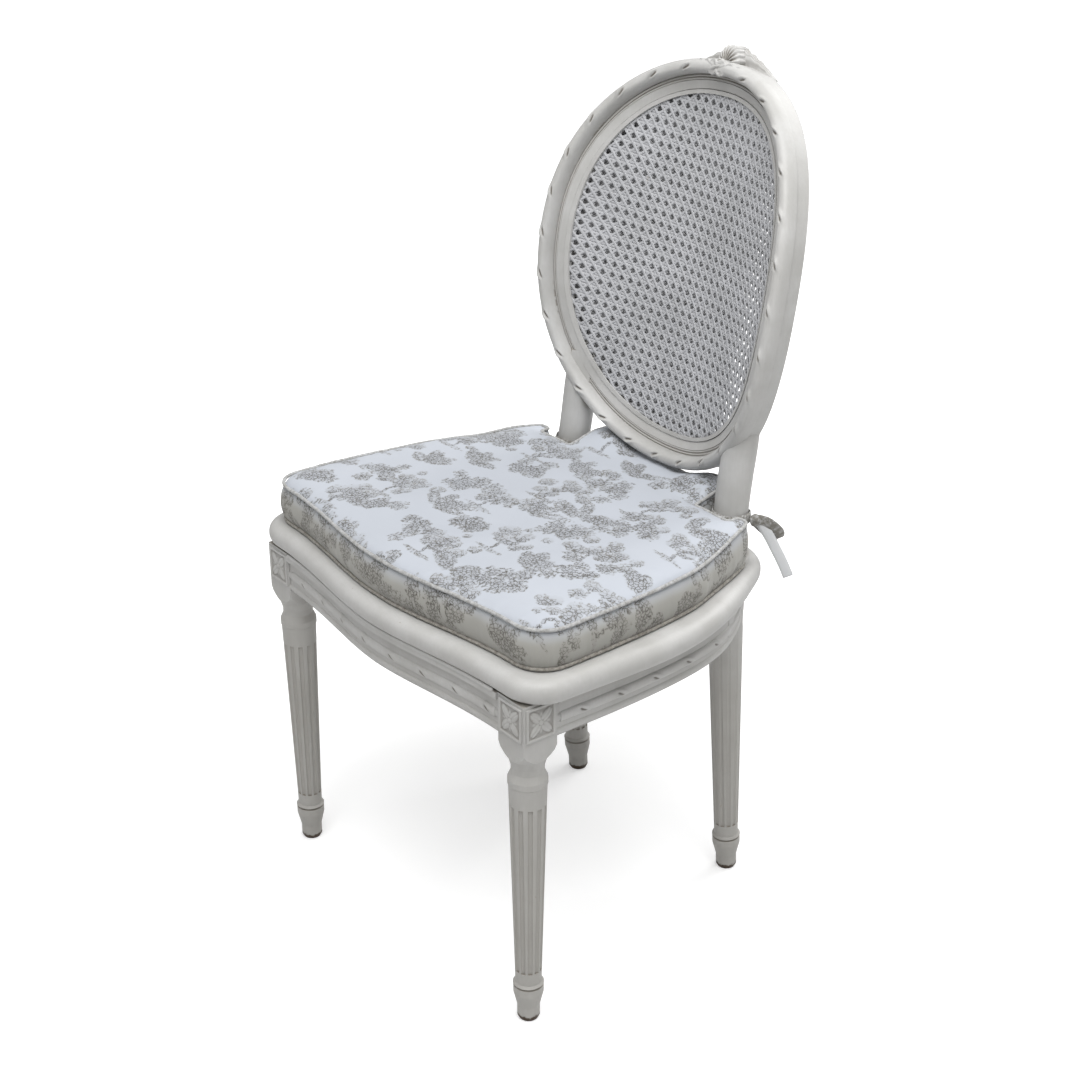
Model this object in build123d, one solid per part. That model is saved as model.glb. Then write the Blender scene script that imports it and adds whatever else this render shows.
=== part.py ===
"""Painted side chair with a caned oval back, turned and fluted legs and a loose tie-on seat cushion.

Sizes are in millimetres. +Z is up, the chair faces -Y, and +X is the sitter's left.
The origin is on the floor, at the middle of the chair's outline.
"""
import os
from math import atan2, copysign, cos, degrees, radians, sin, sqrt

from build123d import *

os.makedirs("parts", exist_ok=True)

# Fits shared by every joint
tenon_clearance = 0.2
curved_gap = 0.4
cane_edge_gap = 0.7
far = 400.0

# Where the legs stand
front_leg_x = 226.0
front_leg_y = -217.0
rear_foot_x = 146.0
rear_foot_y = 154.0
rear_leg_top_x = 147.0
rear_leg_top_y = 130.5

# Heights of the seat frame
rail_bottom_z = 361.0
torus_bottom_z = 409.0
seat_top_z = 436.0

# Turned leg, from the floor up
toe_bottom_radius = 10.5
toe_radius = 12.6
toe_round = 4.0
toe_top_z = 18.0
collar_radius = 16.8
collar_bottom_z = 36.0
collar_top_z = 45.0
ring_radius = 17.2
ring_height = 4.5
ring_groove = 1.2
shaft_bottom_radius = 14.6
shaft_bottom_z = 58.0
shaft_top_radius = 20.6
shaft_top_z = 304.0
cap_radius = 21.4
cap_top_z = 320.0
neck_radius = 17.8
neck_z = 327.0
shoulder_radius = 20.6
shoulder_z = 337.0

# Flutes cut into the shaft
flute_count = 12
flute_radius = 3.2
flute_depth = 1.7
flute_bottom_z = 66.0
front_flute_top_z = 280.0
rear_flute_top_z = 345.0

# Square block at the head of each front leg
block_width = 43.0
block_square_z = 357.0
block_corner_radius = 32.0

# Rounded edge of the seat, drawn at its widest
torus_front_y = -244.0
torus_front_bow = 21.0
torus_half_width = 268.0
torus_corner_radius = 45.0
torus_side_x = 262.0
torus_side_y = -15.0
torus_shoulder_x = 227.0
torus_shoulder_y = 78.0
torus_quarter_x = 203.0
torus_quarter_y = 119.0
torus_rear_x = 125.0
torus_rear_y = 168.0
torus_fillet = 12.8

# Moulded apron under the rounded edge
apron_front_bow = 18.0
apron_thickness = 24.0
apron_recess = 2.0
bead_radius = 5.0
reed_radius = 6.5
reed_z = 382.0
listel_height = 8.0
listel_projection = 3.0
apron_side_x = 240.0
apron_side_y = -21.0
apron_shoulder_x = 224.0
apron_shoulder_y = 52.0
apron_quarter_x = 190.0
apron_quarter_y = 112.0
apron_rear_x = 118.0
apron_rear_y = 150.0
front_rail_inner_y = -206.0
front_rail_back_y = -232.0
side_rail_inner_x = 210.0
side_rail_back_x = 228.0
side_rail_straight_y = -30.0

# Joints of the seat frame
side_joint_x = 214.0
side_joint_y = 74.0
side_joint_turn = 27.0
back_joint_x = 112.0
rail_tenon_width = 9.0
rail_tenon_height = 26.0
rail_tenon_length = 18.0
rail_tenon_z = 386.0

# Opening of the seat and its cane
opening_front_x = 203.0
opening_front_y = -200.0
opening_side_x = 200.0
opening_side_y = -10.0
opening_rear_x = 112.0
opening_rear_y = 96.0
opening_corner_radius = 28.0
rabbet_width = 9.0
rabbet_depth = 3.2
cane_thickness = 1.6
spline_width = 5.0

# Oval back, leaning and hollow towards the sitter
back_centre_y = 196.3
back_centre_z = 719.7
back_rake = 9.6
back_hollow_radius = 280.0
oval_half_width = 168.0
oval_half_height = 198.0
oval_squareness = 2.2
arc_points = 6
moulding_width = 31.0
moulding_depth = 23.0
lip_width = 9.3
lip_fall = 3.0
fine_reed_radius = 1.7
fine_reed_count = 2
roll_radius = 6.3
roll_height = 7.5
rear_chamfer = 3.0
post_shoulder = 28.0
ledge_width = 3.5
ledge_front = 10.2
ledge_rear = 12.4
cane_front_depth = 4.0
cane_rear_depth = 13.0
wedge_height = 2.0
crest_joint_angle = 50.0
lower_joint_angle = -64.0
back_tenon_width = 7.0
back_tenon_height = 13.0
back_tenon_length = 14.0
back_tenon_root = 6.0

# Carved shell and leaves at the crest
shell_radius = 15.0
shell_rise = 1.5
shell_front = 4.0
shell_rear = 25.0
leaf_radius = 8.0
leaf_spacing = 12.0
leaf_count = 3
leaf_shrink = 1.5
leaf_rear = 6.0
leaf_front = 14.5

# Posts from the seat to the oval
post_radius = 19.6
post_seat_x = 146.0
post_seat_y = 131.5
post_waist_x = 141.0
post_waist_y = 138.0
post_waist_z = 490.0
post_head_x = 140.5
post_head_y = 146.0
post_head_z = 548.0
post_end_x = 141.5
post_end_y = 153.0
post_end_z = 594.0
post_end_radius = 16.5

# Seat cushion
cushion_rest_gap = 0.3
cushion_front_y = -222.0
cushion_front_bow = 24.0
cushion_half_width = 247.0
cushion_corner_radius = 36.0
cushion_side_x = 236.0
cushion_side_y = -25.0
cushion_shoulder_x = 214.0
cushion_shoulder_y = 52.0
cushion_slant = 32.0
cushion_ear_x = 184.0
cushion_ear_y = 122.0
cushion_rounding = 3.2
cushion_notch_x = 169.0
cushion_notch_y = 107.0
cushion_tongue_x = 113.0
cushion_tongue_y = 170.0
cushion_height = 47.0
cushion_crown = 13.0
crown_steps = 3
crown_top_share = 0.3
crown_half_width = 226.0
crown_half_length = 152.0
crown_centre_y = -64.0
crown_corner_radius = 110.0
cushion_draw_in = 4.0
cover_thickness = 1.0
piping_radius = 2.8
piping_offset = 3.8

# Tape ties
tape_thickness = 2.0
tape_width = 11.0
tie_z = 478.0
tape_turn_x = 0.55
tape_turn_y = 0.70
tape_turn_z = 0.45
knot_x = 167.5
knot_y = 150.0
knot_radius = 7.5
tail_mid_x = 180.0
tail_mid_y = 172.0
tail_mid_z = 441.0
tail_end_x = 187.0
tail_end_y = 188.0
tail_end_z = 404.0
loop_end_x = 176.0
loop_end_y = 176.0
loop_end_z = 452.0


def save(shape, node):
    """Write one node as its own solid."""
    shape.label = node
    export_step(shape, f"parts/{node}.step")


def save_pair(shape, name):
    """Write the right piece and its mirror image; right is +X."""
    save(shape, f"right_{name}")
    save(mirror(shape, about=Plane.YZ), f"left_{name}")


def block_between(x0, x1, y0, y1, z0, z1):
    """Box given by its two opposite corners."""
    corner = Pos((x0 + x1) / 2, (y0 + y1) / 2, (z0 + z1) / 2)
    return corner * Box(x1 - x0, y1 - y0, z1 - z0)


def turned(points):
    """Turn a closed outline of radius and height about the vertical."""
    outline = Plane.XZ * make_face(Polyline(*points, close=True))
    return revolve(outline, Axis.Z)


def foot_outline():
    """Radius and height from the floor to the bottom of the shaft."""
    ring_step = ring_height + ring_groove
    return [
        (0, 0),
        (toe_bottom_radius, 0),
        (toe_radius, toe_round),
        (toe_radius, toe_top_z),
        ((toe_radius + collar_radius) / 2, (toe_top_z + collar_bottom_z) / 2),
        (collar_radius, collar_bottom_z),
        (collar_radius, collar_top_z),
        (shaft_bottom_radius, collar_top_z + ring_groove),
        (ring_radius, collar_top_z + ring_step / 2),
        (shaft_bottom_radius, collar_top_z + ring_step),
        (shaft_bottom_radius, shaft_bottom_z),
    ]


def shaft_radius(z):
    """Radius of the tapering shaft at a height."""
    share = (z - shaft_bottom_z) / (shaft_top_z - shaft_bottom_z)
    return shaft_bottom_radius + (shaft_top_radius - shaft_bottom_radius) * share


def flutes(top_z):
    """Round grooves that follow the taper of the shaft."""
    low = shaft_radius(flute_bottom_z) + flute_radius - flute_depth
    high = shaft_radius(top_z) + flute_radius - flute_depth
    start = Vector(low, 0, flute_bottom_z)
    finish = Vector(high, 0, top_z)
    along = finish - start
    groove = Plane(origin=start, z_dir=along) * Cylinder(
        flute_radius, along.length, align=(Align.CENTER, Align.CENTER, Align.MIN)
    )
    return [Rot(0, 0, 360 * i / flute_count) * groove for i in range(flute_count)]


# Seat outline: a serpentine front, rounded corners and sides that sweep in to the posts
def torus_outline():
    straight = torus_half_width - torus_corner_radius
    corner_y = torus_front_y + torus_corner_radius
    front = Spline(
        (-straight, torus_front_y),
        (0, torus_front_y - torus_front_bow),
        (straight, torus_front_y),
        tangents=[(1, 0), (1, 0)],
    )
    corner = TangentArc((straight, torus_front_y), (torus_half_width, corner_y), tangent=(1, 0))
    side = Spline(
        (torus_half_width, corner_y),
        (torus_side_x, torus_side_y),
        (torus_shoulder_x, torus_shoulder_y),
        (torus_quarter_x, torus_quarter_y),
        (torus_rear_x, torus_rear_y),
        tangents=[(0, 1), (-1, 0)],
    )
    rear = Line((torus_rear_x, torus_rear_y), (-torus_rear_x, torus_rear_y))
    left = [mirror(edge, about=Plane.YZ) for edge in (corner, side)]
    return make_face([front, corner, side, rear, *left])


def opening_outline(grow):
    """Opening of the seat, made larger all round by grow."""
    half = Polyline(
        (0, opening_front_y - grow),
        (opening_front_x + grow, opening_front_y - grow),
        (opening_side_x + grow, opening_side_y),
        (opening_rear_x + grow, opening_rear_y + grow),
        (0, opening_rear_y + grow),
    )
    face = make_face([half, mirror(half, about=Plane.YZ)])
    corners = [v for v in face.vertices() if abs(v.X) > curved_gap]
    return fillet(corners, opening_corner_radius + grow)


def apron_section():
    """Section of the apron: x is depth into the wood, y is height."""
    height = torus_bottom_z - rail_bottom_z
    body = Pos((apron_recess + apron_thickness) / 2, rail_bottom_z + height / 2) * Rectangle(
        apron_thickness - apron_recess, height
    )
    bead = Pos(bead_radius, rail_bottom_z + bead_radius) * Circle(bead_radius)
    reed = Pos(reed_radius, reed_z) * Circle(reed_radius)
    listel_place = Pos((apron_thickness - listel_projection) / 2, torus_bottom_z - listel_height / 2)
    listel = listel_place * Rectangle(apron_thickness + listel_projection, listel_height)
    return body + bead + reed + listel


seat_ring = extrude(Pos(0, 0, torus_bottom_z) * torus_outline(), seat_top_z - torus_bottom_z)
upper_edges = seat_ring.edges().group_by(Axis.Z)[-1]
lower_edges = seat_ring.edges().group_by(Axis.Z)[0]
seat_ring = fillet(upper_edges + lower_edges, torus_fillet)
seat_ring -= extrude(Pos(0, 0, torus_bottom_z) * opening_outline(0), seat_top_z - torus_bottom_z)
seat_ring -= extrude(Pos(0, 0, seat_top_z - rabbet_depth) * opening_outline(rabbet_width), rabbet_depth)

block_half = block_width / 2
block_inner_x = front_leg_x - block_half
block_outer_x = front_leg_x + block_half
block_front_y = front_leg_y - block_half
block_rear_y = front_leg_y + block_half

# Front apron, swept along the serpentine between the two blocks
front_path = Spline(
    (-block_inner_x, block_front_y),
    (0, block_front_y - apron_front_bow),
    (block_inner_x, block_front_y),
    tangents=[(1, 0), (1, 0)],
)
front_plane = Plane(origin=(-block_inner_x, block_front_y, 0), x_dir=(0, 1, 0), z_dir=(1, 0, 0))
front_apron = sweep(front_plane * apron_section(), path=front_path)
front_apron += block_between(
    -block_inner_x, block_inner_x, front_rail_back_y, front_rail_inner_y, rail_bottom_z, torus_bottom_z
)

# Side apron, swept from the block round the rear corner to the middle of the back
side_path = Spline(
    (block_outer_x, block_rear_y),
    (apron_side_x, apron_side_y),
    (apron_shoulder_x, apron_shoulder_y),
    (apron_quarter_x, apron_quarter_y),
    (apron_rear_x, apron_rear_y),
    tangents=[(0, 1), (-1, 0)],
)
side_plane = Plane(origin=(block_outer_x, block_rear_y, 0), x_dir=(-1, 0, 0), z_dir=(0, 1, 0))
side_apron = sweep(side_plane * apron_section(), path=side_path)
side_apron += block_between(
    side_rail_inner_x, side_rail_back_x, block_rear_y, side_rail_straight_y, rail_bottom_z, torus_bottom_z
)
rear_plane = Plane(origin=(apron_rear_x, apron_rear_y, 0), x_dir=(0, -1, 0), z_dir=(-1, 0, 0))
back_apron = extrude(rear_plane * apron_section(), 2 * apron_rear_x)

# Regions that cut the seat frame into its pieces
front_zone = block_between(-block_inner_x, block_inner_x, -far, block_rear_y, 0, far * 2)
corner_zone = block_between(block_inner_x, far, -far, block_rear_y, 0, far * 2)
rear_half = block_between(0, far, block_rear_y, far, 0, far * 2)
side_joint = Plane(origin=(side_joint_x, side_joint_y, rail_tenon_z)) * Rot(0, 0, side_joint_turn)
behind_joint = side_joint * block_between(-far, far, 0, far, -far, far)
back_zone = block_between(-back_joint_x, back_joint_x, 0, far, 0, far * 2)


def rail_tenon(grow):
    """Tenon along +Y from the origin, made larger all round by grow."""
    return block_between(
        -rail_tenon_width / 2 - grow,
        rail_tenon_width / 2 + grow,
        -grow,
        rail_tenon_length + grow,
        -rail_tenon_height / 2 - grow,
        rail_tenon_height / 2 + grow,
    )


front_rail_middle_y = (front_rail_back_y + front_rail_inner_y) / 2
side_rail_middle_x = (block_outer_x + side_rail_inner_x) / 2
front_tenon_place = Pos(block_inner_x, front_rail_middle_y, rail_tenon_z) * Rot(0, 0, -90)
side_front_place = Pos(side_rail_middle_x, block_rear_y, rail_tenon_z) * Rot(0, 0, 180)
side_rear_place = side_joint * Pos(-apron_thickness / 4, 0, 0)
back_place = Pos(back_joint_x, apron_rear_y - apron_thickness / 2, rail_tenon_z) * Rot(0, 0, -90)

front_rail = front_apron + (seat_ring & front_zone)
front_rail += front_tenon_place * rail_tenon(0)
front_rail += mirror(front_tenon_place * rail_tenon(0), about=Plane.YZ)
save(front_rail, "front_rail")

side_frame = side_apron + (seat_ring & rear_half)
side_rail = side_frame - behind_joint
side_rail += side_front_place * rail_tenon(0)
side_rail += side_rear_place * rail_tenon(0)
save_pair(side_rail, "side_rail")

back_rail = back_apron + (seat_ring & block_between(-apron_rear_x, apron_rear_x, 0, far, 0, far * 2))
back_rail = back_rail & back_zone
back_rail += back_place * rail_tenon(0)
back_rail += mirror(back_place * rail_tenon(0), about=Plane.YZ)
save(back_rail, "back_rail")

# Front leg: turned and fluted below, with the square block and the corner of the seat edge above
leg_outline = foot_outline() + [
    (shaft_top_radius, shaft_top_z),
    (cap_radius, shaft_top_z + ring_groove),
    (cap_radius, (shaft_top_z + cap_top_z) / 2),
    (neck_radius, cap_top_z),
    (neck_radius, neck_z),
    (shoulder_radius, shoulder_z),
    (shoulder_radius, block_square_z),
    (0, block_square_z),
]
front_leg = turned(leg_outline)
for groove in flutes(front_flute_top_z):
    front_leg -= groove
bowl = turned(
    [
        (0, shoulder_z),
        (shoulder_radius, shoulder_z),
        ((shoulder_radius + 2 * block_corner_radius) / 3, (shoulder_z + block_square_z) / 2),
        (block_corner_radius, block_square_z),
        (block_corner_radius, torus_bottom_z),
        (0, torus_bottom_z),
    ]
)
square = block_between(-block_half, block_half, -block_half, block_half, shoulder_z, torus_bottom_z)
front_leg += bowl & square
front_leg = Pos(front_leg_x, front_leg_y, 0) * front_leg
front_leg += seat_ring & corner_zone
front_leg -= front_tenon_place * rail_tenon(tenon_clearance)
front_leg -= side_front_place * rail_tenon(tenon_clearance)
save_pair(front_leg, "front_leg")

# Glue blocks in the two front corners
corner_block = extrude(
    Pos(0, 0, rail_bottom_z + listel_height)
    * make_face(
        Polyline(
            (block_inner_x - tenon_clearance, front_rail_inner_y),
            (block_inner_x - 2 * block_width + block_half, front_rail_inner_y),
            (side_rail_inner_x, block_rear_y + 2 * block_width - block_half),
            (side_rail_inner_x, block_rear_y + tenon_clearance),
            (block_inner_x - tenon_clearance, block_rear_y + tenon_clearance),
            close=True,
        )
    ),
    torus_bottom_z - rail_bottom_z - listel_height,
)
save_pair(corner_block, "corner_block")

# Seat cane, lying in its rabbet, and the strip that wedges it
cane_floor_z = seat_top_z - rabbet_depth
seat_cane = extrude(Pos(0, 0, cane_floor_z) * opening_outline(rabbet_width - curved_gap), cane_thickness)
save(seat_cane, "seat_cane")
strip_face = opening_outline(rabbet_width - curved_gap) - opening_outline(rabbet_width - spline_width)
strip_height = rabbet_depth - cane_thickness
seat_strip = extrude(Pos(0, 0, cane_floor_z + cane_thickness) * strip_face, strip_height)
save(seat_strip, "seat_cane_spline")

# Oval back, drawn flat in its own frame: x across, y up the lean, z towards the sitter
back_frame = Plane(
    origin=(0, back_centre_y, back_centre_z),
    x_dir=(1, 0, 0),
    z_dir=(0, -cos(radians(back_rake)), sin(radians(back_rake))),
)


def oval_point(grow, angle):
    """Point of the oval, made larger all round by grow, at an angle from the sitter's left."""
    across = cos(radians(angle))
    up = sin(radians(angle))
    x = (oval_half_width + grow) * copysign(abs(across) ** (2 / oval_squareness), across)
    y = (oval_half_height + grow) * copysign(abs(up) ** (2 / oval_squareness), up)
    return x, y


def hollow_rise(x):
    """How far the hollow face stands forward at a distance from the middle."""
    return back_hollow_radius - sqrt(back_hollow_radius**2 - x**2)


def hollow_shell(front_depth, rear_depth):
    """Curved slab between two depths behind the hollow face of the back."""
    axis = Pos(0, 0, back_hollow_radius) * Rot(90, 0, 0)
    outer = axis * Cylinder(back_hollow_radius + rear_depth, far * 2)
    return outer - axis * Cylinder(back_hollow_radius + front_depth, far * 2)


def arc_through(place, start_angle, finish_angle):
    """Smooth curve through the points that place gives between two angles, with its true end directions."""
    step = (finish_angle - start_angle) / (arc_points - 1)
    points = [place(start_angle + i * step) for i in range(arc_points)]
    ends = [place(angle + 1) - place(angle - 1) for angle in (start_angle, finish_angle)]
    return Spline(*points, tangents=ends)


def oval_outline(grow):
    """Flat face of the oval, made larger all round by grow."""

    def place(angle):
        return Vector(*oval_point(grow, angle))

    right = [(0, crest_joint_angle), (crest_joint_angle, 90), (lower_joint_angle, 0), (-90, lower_joint_angle)]
    left = [(180 - finish, 180 - start) for start, finish in right]
    return make_face([arc_through(place, start, finish) for start, finish in right + left])


def oval_slab(outline, front_depth, rear_depth):
    """Curved sheet of an outline between two depths behind the hollow face."""
    prism = extrude(Pos(0, 0, -2 * moulding_depth) * outline, oval_half_width)
    return prism & hollow_shell(front_depth, rear_depth)


def strip_of_section(start, finish, low, high):
    """Oblong in the section of the oval frame, from start to finish outwards and from low to high."""
    return Pos((start + finish) / 2, (low + high) / 2) * Rectangle(finish - start, high - low)


# Section of the oval frame: x runs outwards from the lip, y towards the sitter
reeds_end = lip_width + 2 * fine_reed_radius * fine_reed_count
roll_middle = moulding_width - roll_radius
frame_section = strip_of_section(0, moulding_width, -moulding_depth, -lip_fall)
frame_section = chamfer(frame_section.vertices().sort_by(Axis.Y)[:2].sort_by(Axis.X)[-1:], rear_chamfer)
frame_section += make_face(Polyline((0, -lip_fall), (lip_width, -lip_fall), (lip_width, 0), close=True))
frame_section += strip_of_section(lip_width, reeds_end, -lip_fall, -fine_reed_radius)
for i in range(fine_reed_count):
    reed_x = lip_width + fine_reed_radius * (2 * i + 1)
    frame_section += Pos(reed_x, -fine_reed_radius) * Circle(fine_reed_radius)
frame_section += strip_of_section(roll_middle - roll_radius, moulding_width, -lip_fall, roll_height)
frame_section += Pos(roll_middle, roll_height) * Circle(roll_radius)
flank = [
    (reeds_end, -lip_fall),
    (reeds_end, fine_reed_radius),
    (roll_middle - roll_radius / 2, roll_height + roll_radius / 2),
    (roll_middle, -lip_fall),
]
frame_section += make_face(Polyline(*flank, close=True))

# Ledge between the two cane sheets
frame_section += strip_of_section(-ledge_width, moulding_width / 2, -ledge_rear, -ledge_front)


def lip_point(angle):
    """Point of the lip on the hollow face at an angle."""
    x, y = oval_point(0, angle)
    return Vector(x, y, hollow_rise(x))


def oval_arc(start_angle, finish_angle):
    """Run of the moulded frame; its section follows the lip and the hollow, always facing the sitter."""
    path = arc_through(lip_point, start_angle, finish_angle)
    first = path.tangent_at(0)
    outwards = (first.Y, -first.X, 0)
    start = Plane(origin=path.position_at(0), x_dir=outwards, z_dir=-first)
    return sweep(start * frame_section, path=path, binormal=Pos(0, 0, far) * path)


def joint_place(angle):
    """Frame on the oval at an angle; local +X runs along the frame, away from the lower half."""
    x, y = oval_point(moulding_width / 2, angle)
    next_x, next_y = oval_point(moulding_width / 2, angle + 1)
    turn = degrees(atan2(next_y - y, next_x - x))
    lip_x, lip_y = oval_point(0, angle)
    return Pos(x, y, hollow_rise(lip_x) - moulding_depth / 2) * Rot(0, 0, turn)


def back_tenon(grow):
    """Tenon along +X from the origin, made larger all round by grow."""
    return block_between(
        -back_tenon_root - grow,
        back_tenon_length + grow,
        -back_tenon_width / 2 - grow,
        back_tenon_width / 2 + grow,
        -back_tenon_height / 2 - grow,
        back_tenon_height / 2 + grow,
    )


crest_joint = joint_place(crest_joint_angle)
lower_joint = joint_place(lower_joint_angle)
crest_half = oval_arc(90, 180 - crest_joint_angle)
crest_rail = crest_half + mirror(crest_half, about=Plane.YZ)
crest_top = oval_half_height + moulding_width
shell = Pos(0, crest_top + shell_rise, -shell_rear) * Circle(shell_radius)
crest_rail += extrude(shell, shell_rear - shell_front)
for i in range(leaf_count):
    leaf_x = (i + 0.5) * leaf_spacing
    leaf = Pos(leaf_x, crest_top - roll_radius, -leaf_rear) * Circle(leaf_radius - i * leaf_shrink)
    leaf = extrude(leaf, leaf_rear + leaf_front - i * leaf_shrink)
    crest_rail += leaf
    crest_rail += mirror(leaf, about=Plane.YZ)
crest_tenon = crest_joint * Rot(0, 0, 180) * back_tenon(0)
crest_rail += crest_tenon
crest_rail += mirror(crest_tenon, about=Plane.YZ)
save(back_frame * crest_rail, "crest_rail")

lower_half = oval_arc(-90, lower_joint_angle)
lower_rail = lower_half + mirror(lower_half, about=Plane.YZ)
lower_rail += lower_joint * back_tenon(0)
lower_rail += mirror(lower_joint * back_tenon(0), about=Plane.YZ)
save(back_frame * lower_rail, "lower_rail")

stile_arc = oval_arc(0, crest_joint_angle) + mirror(oval_arc(0, -lower_joint_angle), about=Plane.XZ)
stile_arc = back_frame * stile_arc
crest_mortise = back_frame * (crest_joint * Rot(0, 0, 180) * back_tenon(tenon_clearance))
lower_mortise = back_frame * (lower_joint * back_tenon(tenon_clearance))

# Rear leg, leaning back, turned and fluted to the seat
lean_start = Vector(rear_foot_x, rear_foot_y, 0)
lean = Vector(rear_leg_top_x, rear_leg_top_y, rail_bottom_z) - lean_start
rear_head = [(shaft_top_radius, rail_bottom_z), (shaft_top_radius, torus_bottom_z), (0, torus_bottom_z)]
rear_leg = turned(foot_outline() + rear_head)
for groove in flutes(rear_flute_top_z):
    rear_leg -= groove
rear_leg = Plane(origin=lean_start, z_dir=lean) * rear_leg
rear_leg -= block_between(-far, far, -far, far, -far, 0)

# Post from the seat up into the oval
post = loft(
    [
        Pos(rear_leg_top_x, rear_leg_top_y, rail_bottom_z) * Circle(shaft_top_radius),
        Pos(post_seat_x, post_seat_y, seat_top_z) * Circle(post_radius),
        Pos(post_waist_x, post_waist_y, post_waist_z) * Circle(post_radius),
        Pos(post_head_x, post_head_y, post_head_z) * Circle(post_radius),
        Pos(post_end_x, post_end_y, post_end_z) * Circle(post_end_radius),
    ]
)
post -= back_frame * oval_slab(oval_outline(0), -moulding_depth, 2 * moulding_depth)
post -= back_frame * oval_slab(oval_outline(post_shoulder), -2 * moulding_depth, lip_fall + curved_gap)
rear_corner = (side_frame & behind_joint) - back_zone
stile = rear_leg + post + stile_arc + rear_corner
stile -= side_rear_place * rail_tenon(tenon_clearance)
stile -= back_place * rail_tenon(tenon_clearance)
stile -= crest_mortise
stile -= lower_mortise
save_pair(stile, "stile")

# Two cane sheets in the oval, each held by its wedge strip
wedge_front = cane_front_depth - curved_gap
wedge_rear = cane_rear_depth + cane_thickness + curved_gap
cane_outline = oval_outline(-cane_edge_gap)
inside_wedge = extrude(Pos(0, 0, -2 * moulding_depth) * oval_outline(-spline_width), oval_half_width)
front_sheet = oval_slab(cane_outline, cane_front_depth, cane_front_depth + cane_thickness)
rear_sheet = oval_slab(cane_outline, cane_rear_depth, cane_rear_depth + cane_thickness)
front_strip = oval_slab(cane_outline, wedge_front - wedge_height, wedge_front) - inside_wedge
rear_strip = oval_slab(cane_outline, wedge_rear, wedge_rear + wedge_height) - inside_wedge
save(back_frame * front_sheet, "back_cane_front")
save(back_frame * rear_sheet, "back_cane_rear")
save(back_frame * front_strip, "back_spline_front")
save(back_frame * rear_strip, "back_spline_rear")


# Cushion outline, notched round the posts, with a tongue between them
def cushion_outline(inset):
    straight = cushion_half_width - cushion_corner_radius
    corner_y = cushion_front_y + cushion_corner_radius
    slant_x = inset * cos(radians(cushion_slant))
    slant_y = inset * sin(radians(cushion_slant))
    ear_x = cushion_ear_x - (inset - slant_y) / cos(radians(cushion_slant))
    front = Spline(
        (-straight, cushion_front_y + inset),
        (0, cushion_front_y - cushion_front_bow + inset),
        (straight, cushion_front_y + inset),
        tangents=[(1, 0), (1, 0)],
    )
    corner = TangentArc(
        (straight, cushion_front_y + inset), (cushion_half_width - inset, corner_y), tangent=(1, 0)
    )
    side = Spline(
        (cushion_half_width - inset, corner_y),
        (cushion_side_x - inset, cushion_side_y),
        (cushion_shoulder_x - slant_x, cushion_shoulder_y - slant_y),
        (ear_x, cushion_ear_y - inset),
        tangents=[(0, 1), (-sin(radians(cushion_slant)), cos(radians(cushion_slant)))],
    )
    rear = Polyline(
        (ear_x, cushion_ear_y - inset),
        (cushion_notch_x + inset, cushion_ear_y - inset),
        (cushion_notch_x + inset, cushion_notch_y - inset),
        (cushion_tongue_x - inset, cushion_notch_y - inset),
        (cushion_tongue_x - inset, cushion_tongue_y - inset),
        (0, cushion_tongue_y - inset),
    )
    left = [mirror(edge, about=Plane.YZ) for edge in (corner, side, rear)]
    face = make_face([front, corner, side, rear, *left])
    behind = [v for v in face.vertices() if v.Y > cushion_notch_y - inset - curved_gap]
    return fillet([v for v in behind if abs(v.X) > curved_gap], cushion_rounding)


def crown_layer(inset, share, z):
    """Rounded oblong of the crown, shrunk to a share about its middle, at a height."""
    half_width = (crown_half_width - inset) * share
    half_length = (crown_half_length - inset) * share
    flat = RectangleRounded(2 * half_width, 2 * half_length, crown_corner_radius * share)
    return Pos(0, crown_centre_y, z) * flat


def cushion_solid(inset):
    """Pad with drawn-in seams and a crowned top, made smaller all round by inset."""
    low = seat_top_z + cushion_rest_gap + inset
    high = seat_top_z + cushion_rest_gap + cushion_height - inset
    wide = Pos(0, 0, (low + high) / 2) * cushion_outline(inset)
    seam = cushion_outline(inset + cushion_draw_in)
    slabs = [
        loft([Pos(0, 0, low) * seam, wide], ruled=True),
        loft([wide, Pos(0, 0, high) * seam], ruled=True),
    ]
    shares = [1 - (1 - crown_top_share) * i / crown_steps for i in range(crown_steps + 1)]
    layers = [crown_layer(inset, share, high + cushion_crown * (1 - share**2)) for share in shares]
    slabs += [loft([lower, upper], ruled=True) for lower, upper in zip(layers, layers[1:])]
    return slabs[0].fuse(*slabs[1:])


cushion_void = cushion_solid(cover_thickness)
save(cushion_solid(0) - cushion_void, "cushion_cover")
save(cushion_solid(cover_thickness + curved_gap), "cushion_pad")

# Piping sewn into the upper and lower seams
piping_inset = cushion_draw_in - piping_offset
for node, height in (("top_piping", cushion_height), ("bottom_piping", piping_radius)):
    piping_z = seat_top_z + cushion_rest_gap + height
    loop = (Pos(0, 0, piping_z) * cushion_outline(piping_inset)).face().outer_wire()
    start = Plane(origin=loop.position_at(0), z_dir=loop.tangent_at(0))
    save(sweep(start * Circle(piping_radius), path=loop), f"cushion_{node}")

# Tape tied round each post: a band, a knot, a bow loop and a hanging tail
post_lean = Vector(post_waist_x, post_waist_y, post_waist_z) - Vector(post_seat_x, post_seat_y, seat_top_z)
tie_share = (tie_z - seat_top_z) / post_lean.Z
tie_centre = Vector(post_seat_x, post_seat_y, seat_top_z) + post_lean * tie_share
tie_plane = Plane(origin=tie_centre, z_dir=post_lean)
band_radius = post_radius + curved_gap
band = Circle(band_radius + tape_thickness) - Circle(band_radius)
knot = Vector(knot_x, knot_y, tie_z)


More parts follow.
